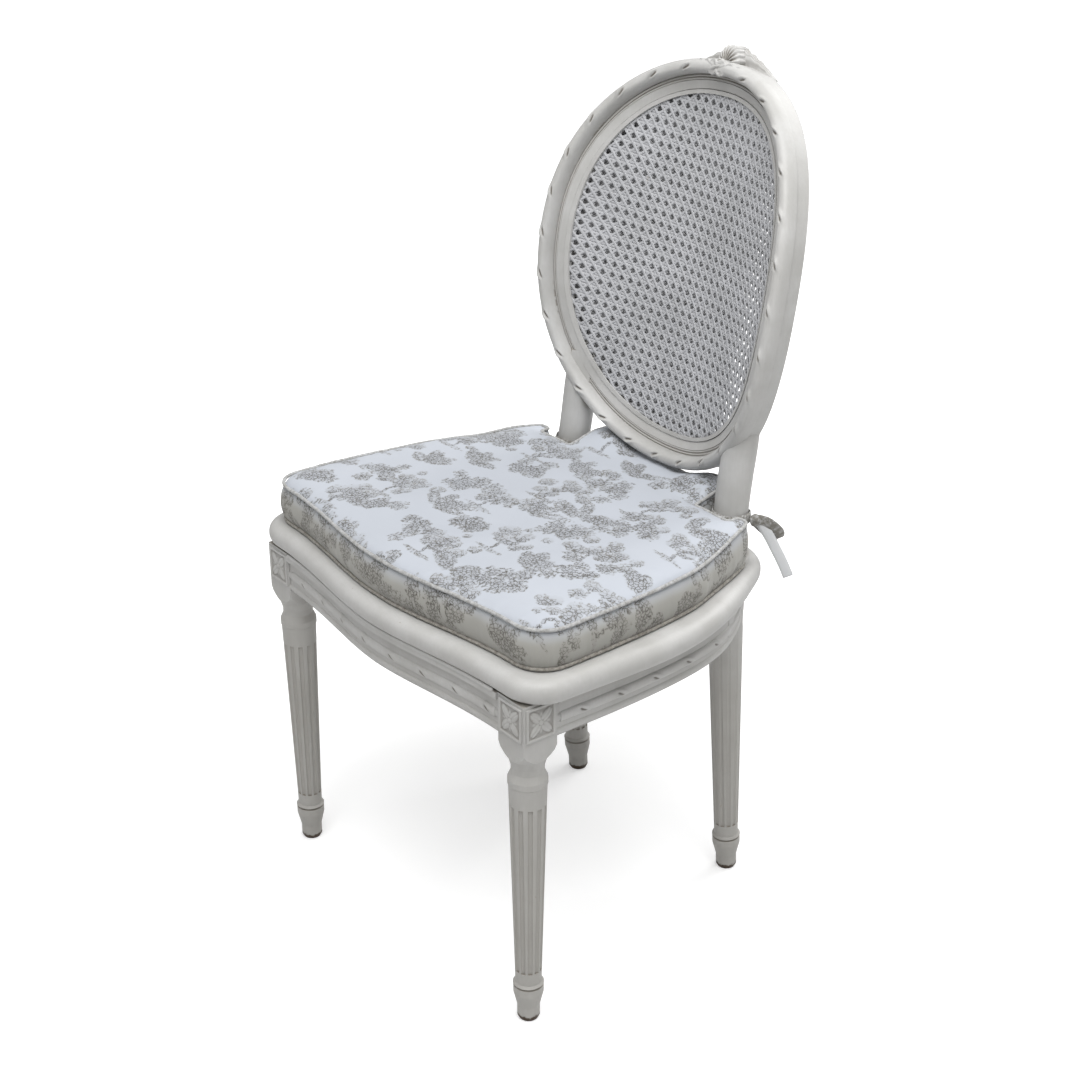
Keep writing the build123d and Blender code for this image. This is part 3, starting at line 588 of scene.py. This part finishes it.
# The cushion: a boxed seat pad of foam in printed cotton, notched round the two back posts.
# Top and bottom panels are sewn to a boxing strip that is gathered at the front corners.
# The cloth is a pale bluish cotton with a leafy print in grey-brown; the filling crowns the top panel.
def curve_through(points, first_way, last_way, count=60):
    """Smooth line through points: cubic between each two, with the slope of the chord past each point."""
    points = np.array(points)
    slopes = np.gradient(points, axis=0)
    slopes[0] = np.array(first_way) * np.linalg.norm(points[1] - points[0])
    slopes[-1] = np.array(last_way) * np.linalg.norm(points[-1] - points[-2])
    t = np.linspace(0, 1, count, endpoint=False)[:, None]
    share = [2 * t**3 - 3 * t**2 + 1, t**3 - 2 * t**2 + t, 3 * t**2 - 2 * t**3, t**3 - t**2]
    ends = zip(points, slopes, points[1:], slopes[1:])
    runs = [sum(part * end for part, end in zip(share, each)) for each in ends]
    return np.concatenate(runs + [points[-1:]])


def even_loop(loop, count):
    """Closed line, measured out again in even steps, and its length."""
    ends = np.concatenate([loop, loop[:1]])
    gone = way_gone(ends)
    even = np.linspace(0, gone[-1], count, endpoint=False)
    return np.stack([np.interp(even, gone, way) for way in ends.T], -1), gone[-1]


def rounded(loop, reach):
    """Closed line with its corners rounded: each point is the bell-weighted mean of its neighbours."""
    offsets = np.arange(-3 * reach, 3 * reach + 1)
    weights = np.exp(-0.5 * (offsets / reach) ** 2)
    return sum(w * np.roll(loop, k, axis=0) for w, k in zip(weights / weights.sum(), offsets))


# Right half of the outline: swept front, round corner, curved side, then the notch and the rear edge.
count, half_front, corner_y, corner_radius = 900, 0.211, -0.186, 0.036
share = np.linspace(0, 1, 60)
front = joined(half_front * share, -0.222 - 0.024 * (1 - 3 * share**2 + 2 * share**3))
bend = np.linspace(-np.pi / 2, 0, 30)
corner = joined(half_front + corner_radius * np.cos(bend), corner_y + corner_radius * np.sin(bend))
side = [(0.247, corner_y), (0.236, -0.025), (0.214, 0.052), (0.184, 0.122)]
side = curve_through(side, first_way=(0, 1), last_way=(-0.53, 0.85))
rear = [(0.184, 0.122), (0.169, 0.122), (0.169, 0.107), (0.113, 0.107), (0.113, 0.170), (0, 0.170)]
right = np.concatenate([front, corner, side, rear])
outline, outline_length = even_loop(np.concatenate([right, right[::-1] * (-1, 1)]), count)
outline = rounded(outline, reach=2)
fuller = np.clip(-outline[:, 0] / 0.24, 0, 1) * np.clip((0.06 - outline[:, 1]) / 0.2, 0, 1)
outline += joined(-0.008 * fuller, -0.003 * fuller)
along = unit(np.roll(outline, -1, axis=0) - np.roll(outline, 1, axis=0))
outward = joined(along[:, 1], -along[:, 0])
gone = np.arange(count) / count * outline_length
draw_in = 0.004 - 0.0025 * np.clip((outline[:, 1] - 0.08) / 0.03, 0, 1)


def ruffle(lengths, seed):
    """Uneven wave round the cushion: sines that each fit the whole way a whole number of times."""
    phases = np.random.default_rng(seed).uniform(0, 2 * np.pi, len(lengths))
    turns = [round(outline_length / length) for length in lengths]
    waves = [np.sin(2 * np.pi * n * gone / outline_length + phase) for n, phase in zip(turns, phases)]
    return sum(waves) / len(waves)


def nearest(points, line):
    """Distance from each point to the nearest one of a line, and which that is, worked out in blocks."""
    blocks = [np.linalg.norm(block[:, None] - line, axis=-1) for block in np.array_split(points, 24)]
    return [np.concatenate([pick(block, axis=1) for block in blocks]) for pick in (np.min, np.argmin)]


def within(points, loop):
    """True where a ray to the right crosses the closed line an odd number of times."""
    after = np.roll(loop, -1, axis=0)
    run, rise = (after - loop).T
    rise = np.where(np.abs(rise) < 1e-12, 1e-12, rise)
    found = []
    for block in np.array_split(points, 24):
        x, y = block[:, 0, None], block[:, 1, None]
        spans = (loop[:, 1] > y) != (after[:, 1] > y)
        cross = loop[:, 0] + (y - loop[:, 1]) / rise * run
        found.append((spans & (x < cross)).sum(axis=1) % 2 == 1)
    return np.concatenate(found)


def panel(loop, spacing):
    """Flat panel inside a loop: an even net of points and the triangles between them and the loop."""
    front, rear, aside = -0.26, 0.19, 0.27
    net = np.meshgrid(np.arange(-aside, aside, spacing), np.arange(front, rear, spacing))
    net = np.stack(net, -1).reshape(-1, 2)
    net[:, 0] += spacing / 2 * (np.round((net[:, 1] - front) / spacing) % 2)
    net = net[within(net, loop)]
    net = net[nearest(net, loop)[0] > 0.7 * spacing]
    corners = np.concatenate([loop, net])
    made = delaunay_2d_cdt(corners.tolist(), [], [list(range(len(loop)))], 1, 1e-7)
    return net, np.array(made[2])


def rear_lift(at):
    """Lift of the top behind, where the filling is pushed up by post and oval: products of smooth steps.
    One rises behind, between post and middle; a lower one rises all round each post."""

    def step(way, start, length):
        share = np.clip((way - start) / length, 0, 1)
        return share**2 * (3 - 2 * share)

    aside = np.abs(at[:, 0])
    between = step(aside, 0.025, 0.06) * step(-aside, -0.165, 0.04) * step(at[:, 1], 0.10, 0.05)
    by_post = step(aside, 0.08, 0.05) * step(at[:, 1], 0.03, 0.07)
    return 0.0145 * between + 0.0055 * by_post * (1 - between)


seam = outline - draw_in[:, None] * outward
seam_low, seam_high = 0.4368, 0.4833
top_net, top_faces = panel(seam, spacing=0.0025)
under_net, under_faces = panel(seam, spacing=0.014)
inwards, beside = nearest(top_net, seam)
x, y = top_net[:, 0], top_net[:, 1]
swell = 0.0072 * (1 - np.exp(-inwards / 0.011)) + 0.0066 * (1 - np.exp(-inwards / 0.075))
swell += 0.0011 * np.sin(31 * x + 1.0) * np.cos(27 * y + 0.4) + 0.0006 * np.sin(53 * x - 38 * y)
swell += 0.0007 * ruffle((0.021, 0.034, 0.013), 3)[beside] * np.exp(-inwards / 0.012)
top_points = np.column_stack([top_net, seam_high + rear_lift(top_net) + swell])
under_points = np.column_stack([under_net, np.full(len(under_net), seam_low - 0.0002)])
rows = 17
up = np.linspace(0, 1, rows)[:, None]
front_corners = ((0.236, -0.213), (-0.244, -0.214))
corner_gone = [gone[np.argmin(np.linalg.norm(outline - at, axis=1))] for at in front_corners]
pleated = np.exp(-(((gone[:, None] - corner_gone) / 0.016) ** 4)).sum(axis=1)
gather = pleated * np.clip(1.15 - 1.9 * up, 0, 1)
puff = 0.0034 * (1 - (2 * up - 1) ** 2) - draw_in * np.abs(2 * up - 1) ** 3
puff += 0.0013 * ruffle((0.05, 0.083, 0.037), 5) * np.sin(np.pi * up)
puff += 0.0006 * ruffle((0.017, 0.011, 0.024), 8) * np.sin(np.pi * up) * (1 - up)
puff += 0.0012 * np.cos(2 * np.pi * gone / 0.0052) * gather * np.sin(np.pi * np.clip(up * 1.4, 0, 1))
wall = outline + puff[..., None] * outward
wall_height = seam_low + (seam_high + rear_lift(outline) - seam_low) * up
wall = np.concatenate([wall, wall_height[..., None]], -1)
cushion_points = np.concatenate([wall.reshape(-1, 3), top_points, under_points])
quads = grid_faces(rows, count, close_columns=True)[:, ::-1]
to_top = (rows - 1) * count
top_index = top_faces + to_top
under_index = np.where(under_faces < count, under_faces, under_faces + to_top + len(top_net))
cushion_faces = np.concatenate([quads[:, [0, 1, 2]], quads[:, [0, 2, 3]], top_index, under_index[:, ::-1]])

# The print, laid out over the opened-out cover: bushes, ferns and flower heads in turn, all drawn by rule.
sower = np.random.default_rng(41)


def bush(spot, lean):
    """Ink of a bush: twenty discs, each lit from one side, on a wavy stem over a lens of tufted ground."""
    lobes = sower.normal(0, 1, (20, 2)) * (0.0185, 0.0115) + (0, 0.012)
    sizes = sower.uniform(0.0055, 0.0115, 20)
    off = spot[:, None] - lobes
    lit = (off @ np.array([0.55, -0.8])) / sizes
    crown = ((np.linalg.norm(off, axis=-1) / sizes < 1) * (0.52 + 0.30 * lit)).max(axis=1)
    x, y = spot.T
    stem = np.abs(x - 0.35 * lean * y - 0.002 * np.sin(210 * y)) < 0.0021
    stem = 0.85 * (stem & (y < 0.004) & (y > -0.024))
    tuft = np.abs(((190 * x + 0.4 * np.sin(260 * y)) % 1) - 0.5) * 2
    ground = (np.abs(y + 0.025) < 0.0042 * (1 - (x / 0.026) ** 2)) & (np.abs(x) < 0.026)
    return np.maximum.reduce([crown, stem, ground * (0.35 + 0.4 * tuft)])


def ferns(spot, lean):
    """Ink of seven arching fronds: along a bowed stalk, oval leaflets slant off to both sides."""
    made = np.zeros(len(spot))
    at = np.linspace(0.1, 1, 13)
    size = 0.0085 * np.sin(np.pi * np.clip(0.15 + 0.8 * at, 0, 1)) + 0.0012
    for bow in sower.uniform(-1.2, 1.2, 7) + lean:
        reach = sower.uniform(0.030, 0.050)
        sideways = reach * (np.sin(bow) * at + 0.35 * np.sin(bow) * at**2)
        upwards = reach * np.cos(bow) * at * (1.1 - 0.25 * at) - 0.018
        stalk = joined(sideways, upwards)
        way = unit(np.gradient(stalk, axis=0))
        for swing in (0.85, -0.85):
            turned = [[math.cos(swing), math.sin(swing)], [-math.sin(swing), math.cos(swing)]]
            leaf_way = way @ np.array(turned)
            off = spot[:, None] - (stalk + leaf_way * size[:, None] * 0.55)
            ahead = (off * leaf_way).sum(axis=-1) / (0.55 * size)
            across = off[..., 0] * leaf_way[:, 1] - off[..., 1] * leaf_way[:, 0]
            across /= 0.19 * size + 0.0006
            leaflets = (ahead**2 + across**2 < 1) * (0.58 + 0.22 * across)
            made = np.maximum(made, leaflets.max(axis=1))
    return made


def flower_heads(spot):
    """Ink of eleven flowers: a dark heart, wavy rings out to five petals, and a halo of small leaves."""
    made = np.zeros(len(spot))
    for head in sower.normal(0, 1, (11, 2)) * (0.0195, 0.0135):
        off = spot - head
        reach, turn = np.hypot(*off.T), np.arctan2(off[:, 1], off[:, 0])
        size = sower.uniform(0.0062, 0.0095)
        petals = size * (0.72 + 0.28 * np.abs(np.cos(2.5 * turn + sower.uniform(0, 3))))
        rings = 0.30 + 0.45 * np.abs(np.sin(3.6 * reach / size + 0.6 * np.cos(5 * turn)))
        bloom = (reach < petals) * np.where(reach < 0.22 * size, 0.9, rings)
        leaves = 0.5 + 0.4 * np.cos(9 * turn + 40 * reach / size)
        halo = (reach < petals + 0.0040) * leaves * (reach > petals)
        made = np.maximum.reduce([made, bloom, halo])
    return made


fallen = wall_height[-1:] - wall_height
unfolded = outline + (fallen - draw_in)[..., None] * outward
cloth = np.concatenate([unfolded.reshape(-1, 2), top_net, under_net])
leafage = np.zeros(len(cloth))
cells = np.stack(np.meshgrid(np.arange(-5, 6), np.arange(-5, 4)), -1).reshape(-1, 2)
cell_size, row_shift, stray, motif_reach = (0.064, 0.062), 0.032, 0.013, 0.075
for number, cell in enumerate(cells):
    middle = cell * cell_size + (row_shift * (cell[1] % 2), 0) + sower.uniform(-stray, stray, 2)
    near = np.flatnonzero(np.abs(cloth - middle).max(axis=1) < motif_reach)
    spot = cloth[near] - middle
    lean = sower.uniform(-0.5, 0.5)
    if number % 3 == 0:
        made = bush(spot, lean)
    elif number % 3 == 1:
        made = ferns(spot, lean)
    else:
        made = flower_heads(spot)
    leafage[near] = np.maximum(leafage[near], np.clip(made, 0, 1))
no_top, no_under = np.zeros(len(top_net)), np.zeros(len(under_net))
pale = np.concatenate([np.clip(gather, 0, 1).ravel(), no_top, no_under])
# Painted shade: the boxing is darker and warmer over its lower two thirds, fading out towards the top seam,
# and the bottom panel is darker and warmer all over.
lower_wall_shade = np.clip(3 - 3 * up, 0, 1) + 0 * gone
wall_shade = np.concatenate([lower_wall_shade.ravel(), no_top, no_under + 1])

printed_cotton, tree = new_material("printed_cotton")
place = place_on(tree)
inked, bare, wall_shade_share = [
    add_node(tree, "Attribute", attribute_name=mark).outputs["Fac"]
    for mark in ("leafage", "pale", "wall_shade")
]
sway = add_node(tree, "TexNoise", {"Scale": 210.0, "Detail": 2.0}, {"Vector": place}).outputs[1]
swayed = add_node(
    tree, "VectorMath", {1: (0.0042, 0.0042, 0.0042)}, {0: sway, 2: place}, operation="MULTIPLY_ADD"
).outputs[0]
cells = add_node(tree, "TexVoronoi", {"Scale": 250.0}, {"Vector": swayed})
outlines = add_node(
    tree, "TexVoronoi", {"Scale": 250.0}, {"Vector": swayed}, feature="DISTANCE_TO_EDGE"
).outputs["Distance"]
chance = add_node(tree, "SeparateColor", links={0: cells.outputs["Color"]}).outputs[0]
needed = stepped(chance, 0.0, 1.0, 0.16, 0.62)
leafy = stepped(reckoned("SUBTRACT", inked, needed), -0.05, 0.14)
hatch = speckle(place, 900.0, 2.0, 0.6)
ink = mixed(stepped(inked, 0.35, 0.85), (0.20, 0.19, 0.168), (0.07, 0.063, 0.052))
drawn = stepped(outlines, 0.16, 0.05, 0.30, 1.0)
strength = reckoned("MULTIPLY", leafy, stepped(hatch, 0.3, 0.65, 0.60, 1.0))
strength = reckoned("MULTIPLY", strength, drawn)
shadow = reckoned("MULTIPLY", stepped(inked, 0.05, 0.6), 0.16)
strength = reckoned("MAXIMUM", strength, shadow)
strength = reckoned("MULTIPLY", strength, stepped(bare, 0.2, 0.7, 1.0, 0.25))
ground = mixed(speckle(place, 22.0, 3.0), (0.43, 0.455, 0.50), (0.475, 0.50, 0.545))
# Painted shade on the boxing and the bottom panel turns their ground darker and warmer.
ground = mixed(reckoned("MULTIPLY", wall_shade_share, 0.9), ground, (0.34, 0.33, 0.295))
colour = mixed(strength, ground, ink)
roughness = stepped(hatch, 0.2, 0.8, 0.72, 0.9)
thread = add_node(tree, "TexVoronoi", {"Scale": 1500.0}, {"Vector": place}).outputs["Distance"]
surface(colour, roughness, thread, strength=0.35, depth=0.0002, sheen=0.2, shine=0.2)
marks = {"leafage": leafage, "pale": pale, "wall_shade": wall_shade}
cushion = add_piece(
    "cushion", cushion_points, cushion_faces, printed_cotton, "cushion", "cushion_cloth", marks
)
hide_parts("cushion_cover", "cushion_pad")


# The piping: cotton cord in a bias strip, sewn into both seams all the way round.
# The upper one is pale; the lower one is darker, coarser and rubbed where it lies on the frame.
def plain_cloth(name, light, dark, mark=""):
    """Cotton in two shades, by a value on the mesh where there is one and by cloudy wear."""
    cotton, tree = new_material(name)
    place = place_on(tree)
    rub = speckle(place, 230.0, 3.0, 0.7)
    share = stepped(rub, 0.3, 0.75)
    if mark:
        marked = add_node(tree, "Attribute", attribute_name=mark).outputs["Fac"]
        marked = stepped(marked, 0.45, 0.75)
        share = reckoned("MULTIPLY", marked, stepped(rub, 0.25, 0.6, 0.4, 1.0))
    colour = mixed(share, light, dark)
    roughness = stepped(rub, 0.2, 0.8, 0.75, 0.92)
    thread = add_node(tree, "TexVoronoi", {"Scale": 1400.0}, {"Vector": place}).outputs["Distance"]
    surface(colour, roughness, thread, strength=0.4, depth=0.0003, sheen=0.2)
    return cotton


def piping(name, node, height, twist, depth, material):
    """Tube of 2 mm radius round the outline: a wave of two lobes, so deep, winds round it twist times."""
    sides, cord_radius = 14, 0.0020
    turn = np.linspace(0, 2 * np.pi, sides, endpoint=False)
    lobe = np.cos(2 * turn[None, :] + 2 * np.pi * twist * np.arange(count)[:, None] / count)
    radius = cord_radius * (1 + depth * lobe) + 0.00015 * ruffle((0.011, 0.019, 0.007), 12)[:, None]
    out = np.column_stack([outward, np.zeros(count)])
    line = np.column_stack([outline - 0.0006 * outward, height + 0.0003 * ruffle((0.06, 0.11), 2)])
    way = np.cos(turn)[:, None] * out[:, None] + np.sin(turn)[:, None] * (0, 0, 1)
    points = line[:, None] + radius[..., None] * way
    faces = grid_faces(count, sides, close_rows=True, close_columns=True)
    tube = add_piece(name, points, faces, material, "cushion", "piping_cloth")
    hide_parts(node)


upper_cotton = plain_cloth("upper_piping_cotton", (0.46, 0.465, 0.465), (0.24, 0.235, 0.22))
lower_cotton = plain_cloth("lower_piping_cotton", (0.36, 0.345, 0.31), (0.15, 0.135, 0.115))
upper_height, lower_height = seam_high + rear_lift(outline), 0.4391
piping("upper_piping", "cushion_top_piping", upper_height, twist=240, depth=0.02, material=upper_cotton)
piping("lower_piping", "cushion_bottom_piping", lower_height, twist=130, depth=0.07, material=lower_cotton)


# The ties: a cotton tape at each rear corner of the cushion, round the back post and tied in a half bow.
# One short loop and one flat tail, cut square, hang outside the post; the left tie mirrors the right.
# All but the tail is mottled with the cover's dark print.
tape_cotton = plain_cloth("tape_cotton", (0.62, 0.63, 0.64), (0.17, 0.16, 0.14), "printed")


def tape(line, across):
    """Closed flat tape: a thin, cupped oblong carried along a line, its width lying along across."""
    width, thick = 0.012, 0.0011
    along = unit(np.gradient(line, axis=0))
    flat = unit(across - (across * along).sum(axis=1, keepdims=True) * along)
    face = np.cross(along, flat)
    edge = np.linspace(-0.5, 0.5, 5)[:, None] * width
    cup = 0.0007 * (1 - np.linspace(-1, 1, 5)[:, None] ** 2)
    middle = line[:, None] + edge * flat[:, None]
    front, back = [middle + (cup + half * thick) * face[:, None] for half in (0.5, -0.5)]
    return plate(front, back)


post = np.array([0.1421, 0.1366, 0.478])
lean = unit(np.array([-0.005, 0.0065, 0.054]))
level = unit(np.array([1.0, 0, 0]) - lean[0] * lean)
depthwise = np.cross(lean, level)
turn = np.linspace(0, 2 * np.pi, 65)[:, None]
ring_radius, ring_wave = 0.0212, 0.0012
ring = post + ring_radius * (np.cos(turn) * level + np.sin(turn) * depthwise)
ring += ring_wave * np.sin(2 * turn) * lean
knot_at = np.array([0.1675, 0.150, 0.478])
tail = [knot_at, (0.1745, 0.1615, 0.463), (0.180, 0.172, 0.441)]
tail += [(0.1845, 0.181, 0.421), (0.187, 0.188, 0.404)]
tail_line = curve_through(tail, (0.6, 0.7, -0.2), (0.15, 0.35, -0.9), count=10)
loop = [knot_at, (0.176, 0.160, 0.476), (0.1815, 0.174, 0.462)]
loop += [(0.176, 0.178, 0.451), (0.170, 0.168, 0.459), knot_at]
loop_line = curve_through(loop, (0.9, 0.5, 0.2), (0.1, -0.6, 0.8), count=9)
facing = np.array([0.55, 0.70, 0.45])
runs = [(ring, lean + 0 * ring), (tail_line, facing + 0 * tail_line), (loop_line, facing + 0 * loop_line)]
tie_points, tie_faces, tie_print, tie_length, first = [], [], [], 0.0, 0
for line, across in runs:
    points, faces = tape(line, across)
    tie_points.append(points)
    tie_faces.append(faces + first)
    tie_print.append(np.full(len(points), 0.0 if line is tail_line else 1.0))
    first += len(points)
    tie_length += way_gone(line)[-1]
tie_points, tie_faces, tie_print = [np.concatenate(each) for each in (tie_points, tie_faces, tie_print)]
knot_rows, knot_columns, knot_radius = 17, 28, 0.0068
turn = np.linspace(0, 2 * np.pi, knot_columns, endpoint=False)[None, :]
over = np.linspace(0, np.pi, knot_rows)[:, None]
fold = 1 + 0.10 * np.sin(over) * np.cos(3 * turn + 2.2 * np.cos(over)) + 0.06 * np.cos(5 * over)
ball = joined(np.sin(over) * np.cos(turn), np.sin(over) * np.sin(turn), np.cos(over) + 0 * turn)
knot_points = knot_at + knot_radius * fold[..., None] * ball * (0.85, 0.95, 1.05)
knot_faces = grid_faces(knot_rows, knot_columns, close_columns=True)
knot_looks = {"slot": "tie_cloth", "marks": {"printed": np.ones(knot_rows * knot_columns)}}
tie_looks = {"slot": "tie_cloth", "marks": {"printed": tie_print}}
for name, hand in (("right", 1), ("left", -1)):
    mirror = (hand, 1, 1)
    knot = add_piece(
        f"{name}_tie_knot", knot_points * mirror, knot_faces, tape_cotton, **knot_looks, weld=True
    )
    tie = add_piece(f"{name}_tape_tie", tie_points * mirror, tie_faces, tape_cotton, **tie_looks)
    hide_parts(f"{name}_tie")


# The studio: camera at the photograph's place and soft light from above, in front and behind.
# The floor is pale paper that looks white to the camera, as in the photograph, but for a faint shadow.
# From below it is clear.
camera = put("camera", bpy.data.cameras.new("camera"))
camera.location = (1.5507, -1.23041, 1.3634)
looks_down, looks_left = 26.761289, 52.150353
camera.rotation_euler = (math.radians(90 - looks_down), 0, math.radians(looks_left))
camera.data.sensor_width = 36
camera.data.lens = 63.3333
photo_height, axis_row = 1080, 593.70
camera.data.shift_y = (axis_row - photo_height / 2) / photo_height
scene = bpy.context.scene
scene.camera = camera

floor_paper, tree = new_material("floor_paper")
paper = tree.nodes["Principled BSDF"]
paper.inputs["Base Color"].default_value = (0.74, 0.74, 0.74, 1)
paper.inputs["Roughness"].default_value = 0.9
# Painted light: for the camera alone the paper glows, weakest near the chair and strongest far off, so the
# floor looks white and the chair's shadow stays faint.
paper.inputs["Emission Color"].default_value = (1, 1, 1, 1)
place = place_on(tree)
away = add_node(tree, "VectorMath", links={0: place}, operation="LENGTH").outputs["Value"]
whitening = {"From Min": 0.35, "From Max": 1.5, "To Min": 0.40, "To Max": 0.80}
white_out = add_node(tree, "MapRange", whitening, {"Value": away}).outputs["Result"]
seen = add_node(tree, "LightPath").outputs["Is Camera Ray"]
shown = add_node(tree, "Math", links={0: seen, 1: white_out}, operation="MULTIPLY")
tree.links.new(shown.outputs["Value"], paper.inputs["Emission Strength"])
below = add_node(tree, "NewGeometry").outputs["Backfacing"]
clear = add_node(tree, "BsdfTransparent").outputs["BSDF"]
one_sided = add_node(tree, "MixShader", links={0: below, 1: paper.outputs["BSDF"], 2: clear})
tree.links.new(one_sided.outputs["Shader"], tree.nodes["Material Output"].inputs["Surface"])
reach = 8.0
floor_mesh = bpy.data.meshes.new("floor")
floor_mesh.from_pydata(
    [(-reach, -reach, 0), (reach, -reach, 0), (reach, reach, 0), (-reach, reach, 0)], [], [(0, 1, 2, 3)]
)
floor_mesh.materials.append(floor_paper)
floor = put("floor", floor_mesh)

world = bpy.data.worlds.new("studio")
scene.world = world
world.use_nodes = True
tree = world.node_tree
background = tree.nodes["Background"].inputs
background["Color"].default_value = (1, 1, 1, 1)
seen = add_node(tree, "LightPath").outputs["Is Camera Ray"]
sky = add_node(tree, "MapRange", {"To Min": 0.42, "To Max": 1.2}, {"Value": seen})
tree.links.new(sky.outputs["Result"], background["Strength"])
for name, place, size, power in (
    ("overhead", (0.8, -0.6, 2.8), 2.2, 80.0),
    ("front_left", (-2.4, -2.0, 1.9), 1.8, 3.0),
    ("behind", (-0.2, 2.4, 2.0), 1.8, 40.0),
):
    lamp = bpy.data.lights.new(name, "AREA")
    lamp.size = size
    lamp.energy = power
    holder = put(name, lamp)
    holder.location = place
    aim = np.array([0, 0, 0.5]) - place
    tilt, swing = math.acos(-aim[2] / np.linalg.norm(aim)), math.atan2(aim[1], aim[0])
    holder.rotation_euler = (tilt, 0, swing - math.pi / 2)
scene.view_settings.view_transform = "Standard"
